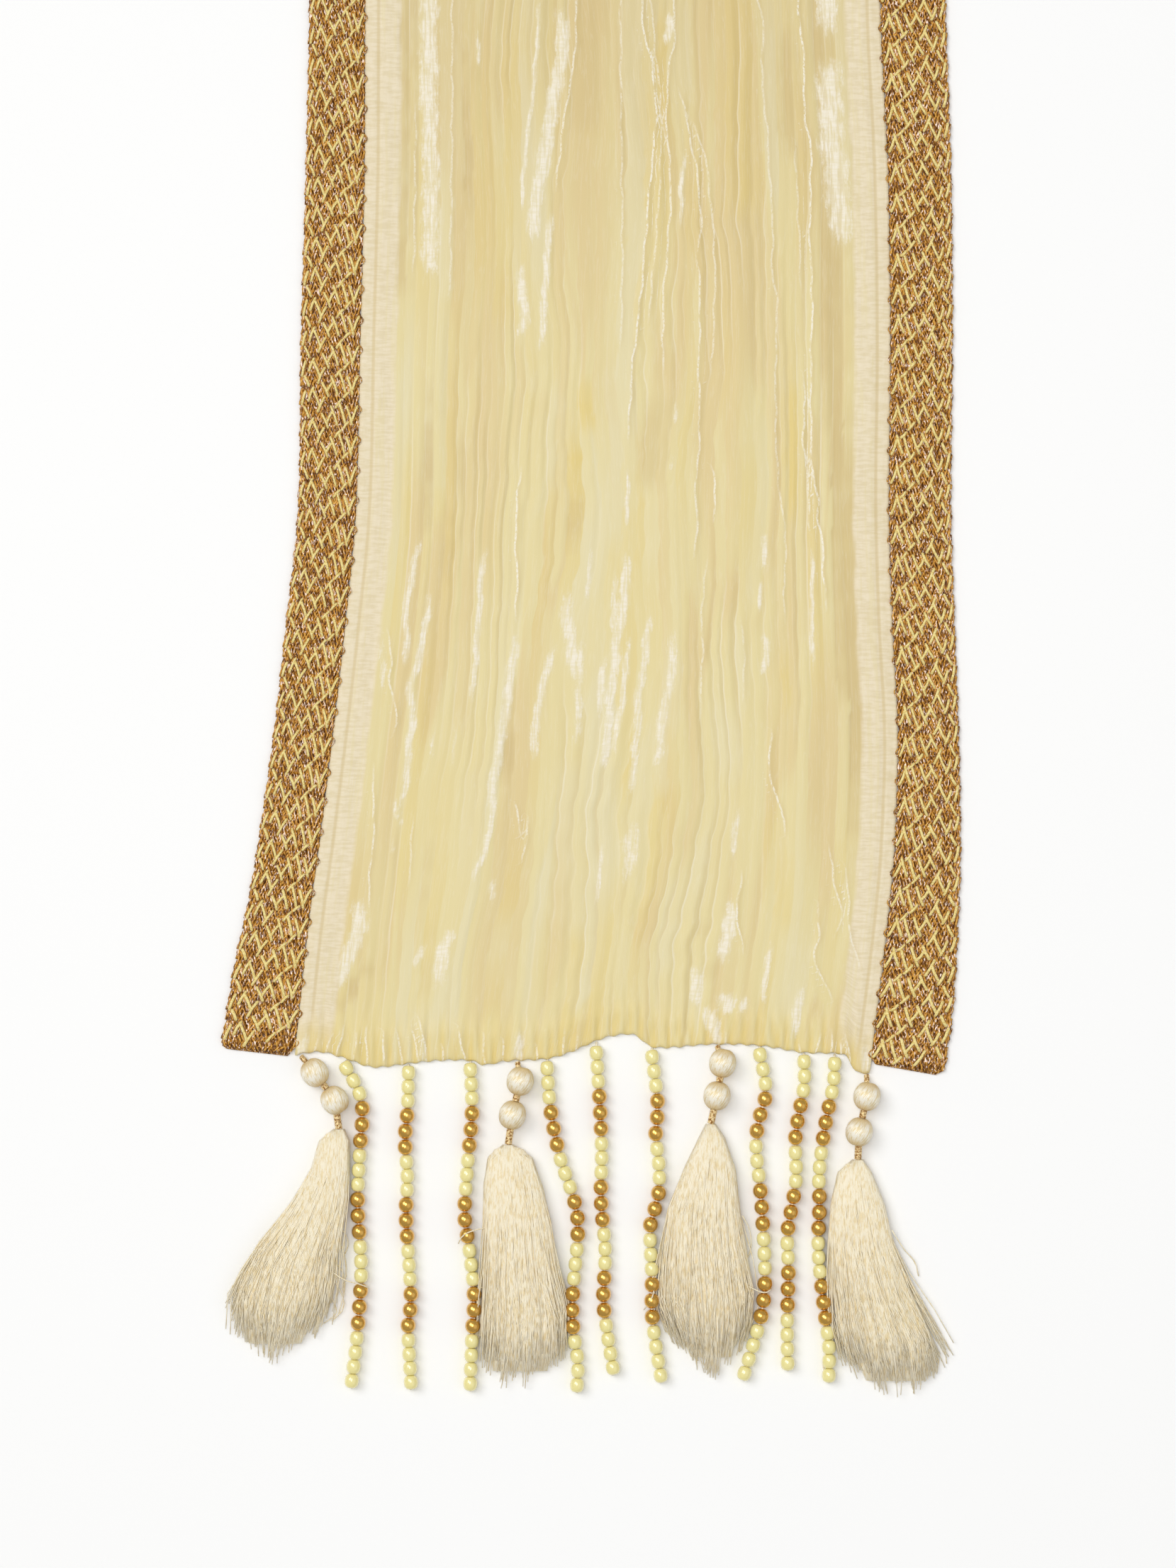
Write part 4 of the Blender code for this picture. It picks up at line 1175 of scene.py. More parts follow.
@dataclass
class Markings:
    """Every stroke on the velvet, kept for each millimetre up the cloth.

    Attributes:
        seed: The random seed of the strokes past the photographed end.
        beyond: Where those strokes start up the cloth.
        far_off: How far off a crest line stops to count.
        levels: The strokes' traces at each millimetre.
    """

    seed: int = 11
    beyond: tuple[float, float] = (455.0, 1975.0)
    far_off: float = 3.0
    levels: dict[int, list[Trace]] = field(default_factory=dict)

    def __post_init__(self) -> None:
        """Lays down the listed strokes, then the others."""
        for number, stroke in enumerate(STROKES):
            self.lay(stroke, number)
        for number, pleat in enumerate(HEM_PLEATS):
            path = (
                (pleat.across, -6.0),
                (pleat.across + pleat.lean * 0.4, pleat.length * 0.4),
                (pleat.across + pleat.lean, pleat.length),
            )
            self.lay(Stroke(CREST, 1.2, 0.9, path), number)
        self.scatter()

    def lay(self, stroke: Stroke, number: int) -> None:
        """Traces a stroke through every millimetre that it passes.

        Args:
            stroke: The stroke.
            number: A number that sets how it wanders.
        """
        points = sorted(stroke.path, key=lambda point: point[1])
        ups = [point[1] for point in points]
        centre = smooth_reader(ups, [point[0] for point in points])
        length = ups[-1] - ups[0]
        fade = min(14.0, 0.4 * length)
        for level in range(math.ceil(ups[0]), math.floor(ups[-1]) + 1):
            inside = min(level - ups[0], ups[-1] - level) / fade
            wander = 0.30 * math.sin(level / 3.7 + 2.1 * number)
            wander += 0.22 * math.sin(level / 1.9 + 1.3 * number)
            value = stroke.strength * math.sin(0.5 * math.pi * min(inside, 1.0))
            trace = Trace(stroke.mark, centre(level) + wander, stroke.width / 2, value)
            self.levels.setdefault(level, []).append(trace)

    def scatter(self) -> None:
        """Strokes like those of the near end, over the rest of the cloth."""
        rng = Random(self.seed)
        plan = ClothPlan()
        kinds = (
            (PILE, 54, (1.6, 6.5), (18.0, 90.0)),
            (CREST, 76, (0.9, 1.5), (50.0, 220.0)),
            (TAN, 34, (3.0, 12.0), (50.0, 190.0)),
            (YELLOW, 26, (3.5, 14.0), (40.0, 150.0)),
            (PALE, 18, (9.0, 16.0), (80.0, 240.0)),
        )
        number = len(STROKES)
        for mark, count, widths, lengths in kinds:
            for _ in range(count):
                start, length = rng.uniform(*self.beyond), rng.uniform(*lengths)
                track = plan.margin + rng.uniform(0.02, 0.98) * plan.zone
                lean = rng.uniform(-0.02, 0.02)
                ups = [start + share * length for share in (0.0, 0.3, 0.65, 1.0)]
                path = tuple(
                    (plan.across(track + lean * (up - start), up) + rng.uniform(-0.8, 0.8), up)
                    for up in ups
                )
                number += 1
                self.lay(Stroke(mark, rng.uniform(*widths), rng.uniform(0.6, 1.0), path), number)

    def tints(self, across: float, up: float) -> Vector:
        """How tan, how yellow and how pale the cloth is at a place."""
        found = {TAN: 0.0, YELLOW: 0.0, PALE: 0.0}
        for trace in self.levels.get(round(up), ()):
            if trace.mark in found:
                reach = 1.2 * max(trace.half_width, 2.5)
                swell = trace.value * bump(across - trace.centre, reach)
                found[trace.mark] = max(found[trace.mark], swell)
        return Vector((found[TAN], found[YELLOW], found[PALE]))

    def marks(self, across: float, up: float) -> Vector:
        """The standing pile at a place, the signed distance to a crest line, and its strength."""
        pile, nearest, strength = 0.0, self.far_off, 0.0
        for trace in self.levels.get(round(up), ()):
            distance = across - trace.centre
            if trace.mark is PILE:
                pile = max(pile, trace.value * bump(distance, 1.7 * trace.half_width))
            elif trace.mark is CREST and abs(distance) < abs(nearest):
                nearest = distance
                strength = trace.value * (1 - ease(abs(distance), 2.0, self.far_off))
        return Vector((pile, nearest, strength))


@dataclass
class VelvetPanel:
    """The crinkled velvet, a thin shell in two stretches that meet past the photograph's edge.

    Attributes:
        plan: Where the cloth lies.
        thickness: The velvet's thickness with its pile.
        margin_columns: Grid columns in each flat margin.
        zone_columns: Grid columns in the crinkled zone.
        meeting: Where the near stretch ends and the far one starts.
        near_step: Row spacing on the near stretch.
        far_step: Row spacing on the far stretch.
        turned_depth: The turned hem's depth.
        turned_rise: How much the turned hem's second layer lifts it.
        roll: How far in from the hem's edge the cloth rolls under.
        roll_drop: How far it drops there.
        groove_track: The margins' lengthwise groove, from their outer edges.
        margin_heights: The margins' height at their outer edge, middle and inner edge.
        least: The least height of the cloth's upper side.
        softness: The crinkles' height, to that of the construction's crisper ones.
        gather: How high the hems' gathers stand.
        crest_rise: How high a crest line stands.
        hollow_depth: How deep a tan hollow lies.
        hem_rows: The grid's rows next to a hem's edge.
        flat_width: The cloth's width as laid, in metres. Not used.
    """

    plan: ClothPlan
    thickness: float = 0.9
    margin_columns: int = 12
    zone_columns: int = 212
    meeting: float = 466.0
    near_step: float = 2.8
    far_step: float = 16.0
    turned_depth: float = 12.0
    turned_rise: float = 0.8
    roll: float = 2.2
    roll_drop: float = 1.1
    groove_track: float = 5.6
    margin_heights: tuple[float, float, float] = (1.7, 1.9, 1.5)
    least: float = 1.05
    softness: float = 0.6
    gather: float = 0.52
    crest_rise: float = 0.4
    hollow_depth: float = 0.45
    hem_rows: tuple[float, ...] = (0, 0.3, 0.9, 1.7, 2.6, 4.2, 6, 8, 10, 12, 13.5, 15)
    flat_width: float = 0.25

    def __post_init__(self) -> None:
        """Draws the crinkles and the strokes."""
        self.crinkles = Crinkles()
        self.markings = Markings()
        margin = [n / self.margin_columns * self.plan.margin for n in range(self.margin_columns)]
        zone = [
            self.plan.margin + n / self.zone_columns * self.plan.zone
            for n in range(self.zone_columns + 1)
        ]
        self.tracks = margin + zone + [self.plan.width - track for track in reversed(margin)]

    def folds(self, share: float, up: float) -> float:
        """What the largest folds add to the cloth's height."""
        width = self.plan.crinkled(up)[1]
        total = 0.0
        for fold in FOLDS:
            middle = (fold.start_up + fold.end_up) / 2
            reach = bump(up - middle, (fold.end_up - fold.start_up) / 2)
            if reach:
                total += fold.rise * reach * bump((share - fold.share) * width, fold.width)
        return total

    def margin_height(self, track: float, up: float) -> float:
        """A flat margin's height, with its soft lengthwise groove."""
        plan = self.plan
        into = track if track <= plan.margin else track - plan.margin - plan.zone
        share = into / plan.margin
        low, high = self.margin_heights[:2] if share < 0.5 else self.margin_heights[1:]
        height = low + (high - low) * ease(share % 0.5 if share < 1 else 0.5, 0.0, 0.5)
        from_edge = min(track, plan.width - track)
        groove = 0.35 * bump(from_edge - self.groove_track - 0.5 * math.sin(up / 60.0), 1.4)
        return height - groove + 0.12 * math.sin(up / 9.0 + share * 4.0)

    def jog(self, track: float, up: float) -> float:
        """How far the crinkles' edges step sideways, much alike on neighbouring crinkles."""
        small = noise.noise(Vector((track / 30.0, up / 9.0, 3.0)))
        large = noise.noise(Vector((track / 55.0, up / 31.0, 8.0)))
        return 1.5 * small + 2.4 * large

    def crispness(self, track: float, up: float) -> float:
        """How strongly the crinkles show at a place, from 0 to 1."""
        broad = noise.noise(Vector((track / 24.0, up / 150.0, 21.0)))
        fine = noise.noise(Vector((track / 9.0, up / 70.0, 34.0)))
        return ease(broad + 0.5 * fine, -0.28, 0.42)

    def pleating(self, across: float, up: float) -> float:
        """The short gathers that fan out from the turned hems."""
        from_end = min(up, CLOTH_LENGTH - up)
        reach = 1 - ease(from_end, 2.0, 30.0)
        if reach <= 0:
            return 0.0
        wander = 3.4 * noise.noise(Vector((across / 14.0, up / 22.0, 5.0)))
        wave = math.sin(TAU * across / 5.6 + wander) + 0.5 * math.sin(TAU * across / 3.1 - wander)
        return self.gather * reach * wave

    def point(self, track: float, up: float) -> tuple[Vector, Vector, Vector, Vector]:
        """A point of the cloth's upper side, with what the material reads there.

        Args:
            track: The point's track.
            up: Its place up the cloth, before the hems' uneven lines.

        Returns:
            The point in metres, then its tints, its marks and its zones.
        """
        plan = self.plan
        across = plan.across(track, up)
        across = plan.across(track, plan.with_hem(across, up))
        true_up = plan.with_hem(across, up)
        share = (track - plan.margin) / plan.zone
        inward = math.sin(math.pi * min(max(share, 0), 1))
        jogged = share + self.jog(track, up) / plan.zone * inward
        crinkle = self.crinkles.number(jogged)
        middle = (self.crinkles.starts[int(crinkle)] + self.crinkles.starts[int(crinkle) + 1]) / 2
        toned = plan.across(plan.margin + middle * plan.zone, true_up)
        marks = self.markings.marks(across, true_up)
        tints = self.markings.tints(toned, true_up)
        from_end = min(up, CLOTH_LENGTH - up)
        turned = 1 - ease(from_end, self.turned_depth, self.turned_depth + 5.0)
        gathered = self.pleating(across, up)

        if 0 < share < 1:
            flat = max(1 - 0.75 * tints.z - 0.5 * min(marks.x, 1.0), 0.2)
            flat *= 0.22 + 0.88 * self.crispness(track, up)
            rise = self.softness * self.crinkles.rise(jogged, up)
            height = self.crinkles.valley + 0.5 * (1 - flat) + rise * flat
            height += self.folds(share, up) + gathered
            height += self.crest_rise * marks.z * bump(marks.y, 2.2) + 0.1 * min(marks.x, 1.0)
            height -= self.hollow_depth * tints.x
            inner = min(share, 1 - share) * plan.zone
            uneven = 1.1 + 1.1 * noise.noise(Vector((share * 9.0, up / 13.0, 55.0)))
            margin = 1 - ease(inner, uneven - 0.9, uneven + 0.9)
        else:
            height = self.margin_height(track, up) + 0.7 * gathered
            margin = 1.0
        margin *= ease(from_end + 6.0 * noise.noise(Vector((across / 6.0, 0.0, 60.0))), 1.0, 20.0)
        height = max(height, self.least) + self.turned_rise * turned
        rolled = max(1 - from_end / self.roll, 0.0)
        height -= self.roll_drop * (1 - math.sqrt(1 - rolled * rolled))
        place = metres(across, HEM_LINE_Y + true_up, height)
        # deeper yellow near the hems, more in the gathers' hollows as painted shade, less on their
        # ridges
        hem = (1 - ease(from_end, 3.0, 24.0)) * min(max(0.55 - 0.85 * gathered, 0.0), 1.0)
        return place, tints, marks, Vector((margin, hem, crinkle))

    def rows(self, first: float, last: float, step: float) -> list[float]:
        """Places up the cloth, close at a rolled hem's edge and even past it."""
        near = list(self.hem_rows) if first == 0.0 else [first]
        hem = [CLOTH_LENGTH - up for up in reversed(self.hem_rows)]
        far = hem if last == CLOTH_LENGTH else [last]
        count = round((far[0] - near[-1]) / step)
        between = [near[-1] + n * (far[0] - near[-1]) / count for n in range(1, count)]
        return near + between + far

    def stretch(self, name: str, rows: list[float], material: bpy.types.Material) -> None:
        """Builds one stretch of the panel, from its rows.

        Args:
            name: The piece's name.
            rows: The places up the cloth of its grid's rows.
            material: The velvet.
        """
        bm = bmesh.new()
        across_count = len(self.tracks) - 1
        along_count = len(rows) - 1
        bmesh.ops.create_grid(bm, x_segments=across_count, y_segments=along_count, size=1.0)
        layers = [
            bm.verts.layers.float_vector.new(name) for name in ("flow", "tints", "marks", "zones")
        ]
        for vertex in bm.verts:
            track = self.tracks[round((vertex.co.x + 1) / 2 * across_count)]
            up = rows[round((vertex.co.y + 1) / 2 * along_count)]
            vertex.co, *values = self.point(track, up)
            flow = Vector((track, up, self.crispness(track, up)))
            for layer, value in zip(layers, (flow, *values)):
                vertex[layer] = value
        open_ends = {rows[0], rows[-1]} - {0.0, CLOTH_LENGTH}
        flow = layers[0]
        for edge in bm.edges:
            if edge.is_boundary and all(vert[flow].y in open_ends for vert in edge.verts):
                edge.smooth = False
        piece = finished(name, mesh_from(name, bm), [material])
        shell = piece.modifiers.new("thickness", "SOLIDIFY")
        shell.thickness = self.thickness * MM
        shell.offset = -1.0
        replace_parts(piece, "velvet_panel")

    def build(self, material: bpy.types.Material) -> None:
        """Builds both stretches."""
        near = self.rows(0.0, self.meeting, self.near_step)
        far = self.rows(self.meeting, CLOTH_LENGTH, self.far_step)
        self.stretch("velvet_near_stretch", near, material)
        self.stretch("velvet_far_stretch", far, material)


@dataclass
class PlaitedBraid:
    """A flat plait of metallic yarn with yellow cords, its ends turned under.

    Attributes:
        side: The edge that it is sewn along.
        plan: Where its edges lie.
        meeting: Where the finer near stretch ends.
        bed_height: The plait's bed between the floats.
        crown: How high a float stands over the bed.
        cord_radius: A yellow cord's radius.
        yarn_radius: A yarn's radius.
        bundle_radius: A bundle's radius, where the far stretch shows it as one.
        bare_end: How far the cords stop short of the near end.
        turn: How far in from its end the plait rolls under.
        rounding: How far the corners of a turned end draw in.
        sink: How far the bed and the floats' ends lie under the bed's height.
        bow: How far a float bows sideways.
        loop_radius: The radius of the edges' loops.
        reach: Where the plait's repeats start and end, before they are trimmed.
        bed_reach: Where its bed does.
        bed_steps: The bed's row spacing on the near and the far stretch.
    """

    side: Side
    plan: ClothPlan
    meeting: float = 471.75
    bed_height: float = 2.0
    edge_height: float = 1.5
    crown: float = 0.95
    cord_radius: float = 0.56
    yarn_radius: float = 0.5
    bundle_radius: float = 0.95
    bare_end: float = 5.5
    turn: float = 2.6
    rounding: float = 2.6
    sink: float = 0.3
    bow: float = 0.25
    loop_radius: float = 0.62
    reach: tuple[float, float] = (-13.0, 2010.0)
    bed_reach: tuple[float, float] = (-5.2, 2003.2)
    bed_steps: tuple[float, float] = (3.0, 6.0)
    seed: int = 5

    @property
    def label(self) -> str:
        """The side's word in names."""
        return self.side.name.lower()

    def bed(self, x: float) -> float:
        """The bed's height at a place across the plait, lower towards its edges."""
        from_edge = min(x, PLAIT_WIDTH - x)
        return self.edge_height + (self.bed_height - self.edge_height) * ease(from_edge, 0.0, 3.0)

    def lay(self, x: float, up: float, height: float) -> Vector:
        """Lays a point of the flat plait along the stole's edge.

        Args:
            x: Its place across the plait, from the plait's left edge.
            up: Its place up the cloth.
            height: Its height.

        Returns:
            The point in metres.
        """
        share = min(max(x / PLAIT_WIDTH, -0.06), 1.06)
        outward = 1 - share if self.side is Side.LEFT else share
        near_outer, near_inner, far_outer, far_inner = self.side.value
        near = near_inner + (near_outer - near_inner) * outward
        far = far_inner + (far_outer - far_inner) * outward
        inside = min(up - near, far - up)
        placed = min(max(up, near), far)
        rolled = min(max(1 - inside / self.turn, 0.0), 1.0)
        if self.side is Side.LEFT:
            start, end = self.plan.left_edge(placed), self.plan.left_braid(placed)
        else:
            start, end = self.plan.right_braid(placed), self.plan.right_edge(placed)
        corner = self.rounding * rolled * rolled
        across = start + corner + share * (end - start - 2 * corner)
        height *= 0.35 + 0.65 * math.sqrt(1 - rolled * rolled)
        return metres(across, HEM_LINE_Y + placed, height)

    def tile(self, fine: bool) -> tuple[bpy.types.Mesh, bpy.types.Mesh]:
        """One repeat of the plait, flat, in metres, with X across it and Y up it.

        Args:
            fine: Whether it has the near stretch's finer threads.

        Returns:
            The yarn bundles' mesh and the yellow cords'.
        """
        yarns = ThreadWork("yarn_repeat")
        cords = ThreadWork("cord_repeat", 1 if fine else 0)
        cord_shares = (0.0, 0.1, 0.5, 0.9, 1.0) if fine else (0.0, 0.5, 1.0)
        yarn_shares = (0.0, 0.2, 0.8, 1.0) if fine else (0.0, 1.0)
        beside = (-1.0, 1.0) if fine else (0.0,)
        alone = (-0.62, 0.62) if fine else (0.0,)
        for cord in PLAIT:
            start = Vector((cord.across, -cord.down, 0.0))
            way = Vector((cord.end_across, -cord.end_down, 0.0)) - start
            line = self.float_line(start, way, 0.15, cord_shares, self.crown, self.cord_radius)
            cords.add(*line)
            for third in range(3):
                below = Vector((0.0, -third * PLAIT_REPEAT / 3, 0.0))
                for offset in alone if third else beside:
                    moved = start + below + Vector((offset, 0.0, 0.0))
                    radius = self.yarn_radius if fine else self.bundle_radius
                    lift = 0.6 - radius
                    yarns.add(*self.float_line(moved, way, 0.1, yarn_shares, lift, radius))
        for edge_x, outward in ((0.0, -1.0), (PLAIT_WIDTH, 1.0)):
            for start_down in (0.0, PLAIT_REPEAT / 2):
                points = []
                for share in (0.0, 0.2, 0.5, 0.8, 1.0) if fine else (0.0, 0.5, 1.0):
                    arch = math.sin(math.pi * share)
                    x = edge_x - outward * (1.5 - 1.45 * arch)
                    y = -start_down - share * PLAIT_REPEAT * 0.62
                    points.append(metres(x, y, self.edge_height - 0.2 + 0.35 * arch))
                yarns.add(points, [self.loop_radius] * len(points))
        if fine:
            points = []
            for share in (0.0, 0.2, 0.4, 0.6, 0.8, 1.0):
                arch = math.sin(math.pi * share)
                x = PLAIT_WIDTH - 0.7 + 1.9 * arch
                points.append(metres(x, -2.0 - 4.6 * share, 2.05 + 0.3 * arch))
            yarns.add(points, [0.27] * len(points))
        return yarns.mesh(), cords.mesh()

    def float_line(
        self,
        start: Vector,
        way: Vector,
        past: float,
        shares: tuple[float, ...],
        crown: float,
        radius: float,
    ) -> Thread:
        """One float of the plait, which rises out of it, bows a little and dips back in.

        Args:
            start: Where it starts, in millimetres.
            way: From its start to its end.
            past: How far it runs on past either end, as a share of its length.
            shares: The places along it that get a point.
            crown: How high it stands over the bed.
            radius: Its radius.

        Returns:
            The float.
        """
        points = []
        for share in shares:
            spot = start + way * ((1 + 2 * past) * share - past)
            arch = math.sin(math.pi * share)
            x = spot.x + math.copysign(self.bow, way.x) * arch
            full = min(3.2 * arch, 1.0) if len(shares) > 2 else 1.0
            points.append(metres(x, spot.y, self.bed(x) + crown * full - self.sink * (1 - full)))
        return Thread(points, [radius] * len(points))

    def bed_grid(self, bm: bmesh.types.BMesh, first: float, last: float, step: float) -> None:
        """Adds the plait's closed bed under the floats.

        Args:
            bm: The mesh to add it to.
            first: Where it starts up the cloth.
            last: Where it ends.
            step: Its row spacing.
        """
        columns, rows = 12, round((last - first) / step)
        floats = set(bm.faces)
        made = bmesh.ops.create_grid(bm, x_segments=columns, y_segments=rows, size=1.0)["verts"]
        for vertex in made:
            x = 0.5 + (vertex.co.x + 1) / 2 * (PLAIT_WIDTH - 1.0)
            up = first + (vertex.co.y + 1) / 2 * (last - first)
            scallop = 0.3 * math.sin(TAU * 2 * up / PLAIT_REPEAT)
            edge = 1.0 if vertex.co.x > 0.99 else -1.0 if vertex.co.x < -0.99 else 0.0
            vertex.co = self.lay(x + edge * scallop, up, self.bed(x) - self.sink)
        made = set(made)
        rim = [edge for edge in bm.edges if edge.is_boundary and made.issuperset(edge.verts)]
        walls = bmesh.ops.extrude_edge_only(bm, edges=rim)["geom"]
        for vertex in (item for item in walls if isinstance(item, bmesh.types.BMVert)):
            vertex.co.z = 0.1 * MM
        base = [item for item in walls if isinstance(item, bmesh.types.BMEdge)]
        bmesh.ops.contextual_create(bm, geom=[edge for edge in base if edge.is_boundary])
        for face in set(bm.faces) - floats:
            face.material_index = 2

    def stretch(
        self, name: str, first: float, last: float, fine: bool, materials: list
    ) -> bpy.types.Object:
        """Builds one stretch of the braid.

        Args:
            name: The piece's name.
            first: Where it starts up the cloth.
            last: Where it ends.
            fine: Whether it has the finer threads.
            materials: The yarn's, the cord's and the ground's.

        Returns:
            The piece.
        """
        rng = Random(self.seed + int(fine))
        tiles = self.tile(fine)
        bm = bmesh.new()
        number = math.floor(first / PLAIT_REPEAT)
        while number * PLAIT_REPEAT < last + PLAIT_REPEAT:
            base_up = number * PLAIT_REPEAT
            before = len(bm.verts)
            for index, tile in enumerate(tiles):
                absorb(bm, tile, index)
            bm.verts.ensure_lookup_table()
            slip, lift = rng.uniform(-0.25, 0.25), rng.uniform(-0.08, 0.08)
            for index in range(before, len(bm.verts)):
                flat = bm.verts[index].co / MM
                if self.side is Side.LEFT:
                    x, up = flat.x, base_up + flat.y
                else:
                    x, up = PLAIT_WIDTH - flat.x, base_up - flat.y
                wobble = 0.22 * math.sin(up / 4.3 + x) + slip
                bm.verts[index].co = Vector((x, up + wobble, flat.z + lift))
            number += 1
        self.trim(bm, first, last)
        for vertex in bm.verts:
            vertex.co = self.lay(vertex.co.x, vertex.co.y, vertex.co.z)
        start, end = max(first, self.bed_reach[0]), min(last, self.bed_reach[1])
        self.bed_grid(bm, start, end, self.bed_steps[0 if fine else 1])
        bmesh.ops.recalc_face_normals(bm, faces=bm.faces)
        for tile in tiles:
            bpy.data.meshes.remove(tile)
        piece = finished(name, mesh_from(name, bm), materials)
        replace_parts(piece, f"braid_{self.label}")
        return piece

    def trim(self, bm: bmesh.types.BMesh, first: float, last: float) -> None:
        """Takes away the floats that lie past a stretch or past the braid's turned ends.

        Args:
            bm: The flat plait, in millimetres.
            first: Where the stretch starts up the cloth.
            last: Where it ends.
        """
        ends = self.side.value
        low = first if first > 0 else min(ends.near_outer, ends.near_inner)
        high = last if last < CLOTH_LENGTH else max(ends.far_outer, ends.far_inner)
        bm.verts.index_update()
        seen: set[int] = set()
        gone = []
        for vertex in bm.verts:
            if vertex.index in seen:
                continue
            island, front = [], [vertex]
            seen.add(vertex.index)
            while front:
                here = front.pop()
                island.append(here)
                for edge in here.link_edges:
                    other = edge.other_vert(here)
                    if other.index not in seen:
                        seen.add(other.index)
                        front.append(other)
            middle = sum(item.co.y for item in island) / len(island)
            is_cord = vertex.link_faces[0].material_index == 1
            bare = self.bare_end if is_cord and first < 0 else 0.0
            if not low + bare <= middle < high:
                gone += island
        bmesh.ops.delete(bm, geom=gone, context="VERTS")

    def build(self, materials: list) -> None:
        """Builds the near stretch, with fine threads, and the plainer far one."""
        start, end = self.reach
        self.stretch(f"plait_{self.label}_near", start, self.meeting, True, materials)
        self.stretch(f"plait_{self.label}_far", self.meeting, end, False, materials)


# The fringe


def route_line(route: Sequence[tuple[float, float]], steps: int = 12) -> list[Vector]:
    """A smooth line through a route's points, as many short steps."""
    points = [Vector(point) for point in route]
    line = []
    for number in range(len(points) - 1):
        before = points[max(number - 1, 0)]
        start, end = points[number], points[number + 1]
        after = points[min(number + 2, len(points) - 1)]
        for step in range(steps):
            t = step / steps
            line.append(
                0.5
                * (
                    2 * start
                    + (end - before) * t
                    + (2 * before - 5 * start + 4 * end - after) * t**2
                    + (3 * start - before - 3 * end + after) * t**3
                )
            )
    return [*line, points[-1]]


def at_lengths(line: list[Vector], lengths: list[float]) -> list[Vector]:
    """The points of a line at given lengths along it, the last length being its end."""
    scale = sum((b - a).length for a, b in zip(line, line[1:])) / lengths[-1]
    found = []
    travelled, number = 0.0, 0
    step = line[1] - line[0]
    for length in lengths:
        while number < len(line) - 2 and travelled + step.length < length * scale:
            travelled += step.length
            number += 1
            step = line[number + 1] - line[number]
        found.append(line[number] + step * min((length * scale - travelled) / step.length, 1.0))
    return found


class BeadShape(NamedTuple):
    """A bead's diameter and pitch, its material's number, and how round its ends are."""

    diameter: float
    pitch: float
    material: int
    roundness: float


class BeadKind(Enum):
    """The two kinds of bead."""

    LEMON = BeadShape(6.0, 6.03, 0, 0.5)
    GOLD = BeadShape(6.6, 6.75, 1, 0.8)


@dataclass
class BeadString:
    """A string of round beads, lemon and gold in groups, hung from the hem.

    Attributes:
        number: The string's number from the left, from 0.
        hem_down: The near hem's line.
    """

    number: int
    hem_down: Callable[[float], float]
    groups: tuple[int, ...] = (3, 3, 3, 3, 3, 3, 4)
    short_groups: tuple[int, ...] = (3, 3, 3, 3, 2, 3, 4)
    short_string: int = 7
    centre_height: float = 3.4
    thread_height: float = 1.7
    thread_radius: float = 0.5
    seed: int = 31

    def kinds(self) -> list[BeadKind]:
        """The beads in order from the hem."""
        groups = self.short_groups if self.number == self.short_string else self.groups
        found = []
        for group, count in enumerate(groups):
            found += [BeadKind.GOLD if group % 2 else BeadKind.LEMON] * count
        return found

    def middles(self, kinds: list[BeadKind]) -> list[Vector]:
        """The beads' middles across and down, spaced by their pitches along the route."""
        lengths = [0.0]
        for first, second in zip(kinds, kinds[1:]):
            lengths.append(lengths[-1] + (first.value.pitch + second.value.pitch) / 2)
        return at_lengths(route_line(STRING_ROUTES[self.number]), lengths)

    def build(self, materials: list) -> None:
        """Strings the beads on their thread.

        Args:
            materials: The lemon bead's, the gold bead's and the thread's.
        """
        rng = Random(self.seed + self.number)
        kinds = self.kinds()
        middles = self.middles(kinds)
        bm = bmesh.new()
        for place_number, (kind, middle) in enumerate(zip(kinds, middles)):
            diameter, _, index, roundness = kind.value
            size = diameter / 2 * rng.uniform(0.985, 1.0) * MM
            place = down_point(middle.x, middle.y, self.centre_height + rng.uniform(-0.05, 0.05))
            along = middles[min(place_number + 1, len(kinds) - 1)]
            along = along - middles[max(place_number - 1, 0)]
            placing = aimed(place, Vector((along.x, -along.y, 0.0)))
            before = len(bm.faces)
            sphere = bmesh.ops.create_uvsphere(bm, u_segments=20, v_segments=12, radius=size)
            made = sphere["verts"]
            for vertex in made:
                girth = max(math.hypot(vertex.co.x, vertex.co.y) / size, 1e-4)
                vertex.co.xy *= girth ** (roundness - 1)
            bmesh.ops.transform(bm, matrix=placing, verts=made)
            bm.faces.ensure_lookup_table()
            for face in bm.faces[before:]:
                face.material_index = index
        thread = ThreadWork(f"bead_thread_{self.number + 1}", 1)
        first, last = middles[0], middles[-1]
        edge = self.hem_down(first.x)
        thread.add(
            [
                down_point(first.x, edge + 1.5 * SEAM_GAP, self.thread_height),
                down_point(first.x, first.y - 2.6, self.centre_height - 0.6),
                *[down_point(spot.x, spot.y, self.centre_height) for spot in middles],
                down_point(last.x, last.y + 3.25, self.centre_height - 0.3),
            ],
            [self.thread_radius] * (len(middles) + 3),
        )
        strung = thread.mesh()
        absorb(bm, strung, 2)
        bpy.data.meshes.remove(strung)
        name = f"beads_on_string_{self.number + 1}"
        piece = finished(name, mesh_from(name, bm), materials)
        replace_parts(piece, f"bead_string_{self.number + 1}")


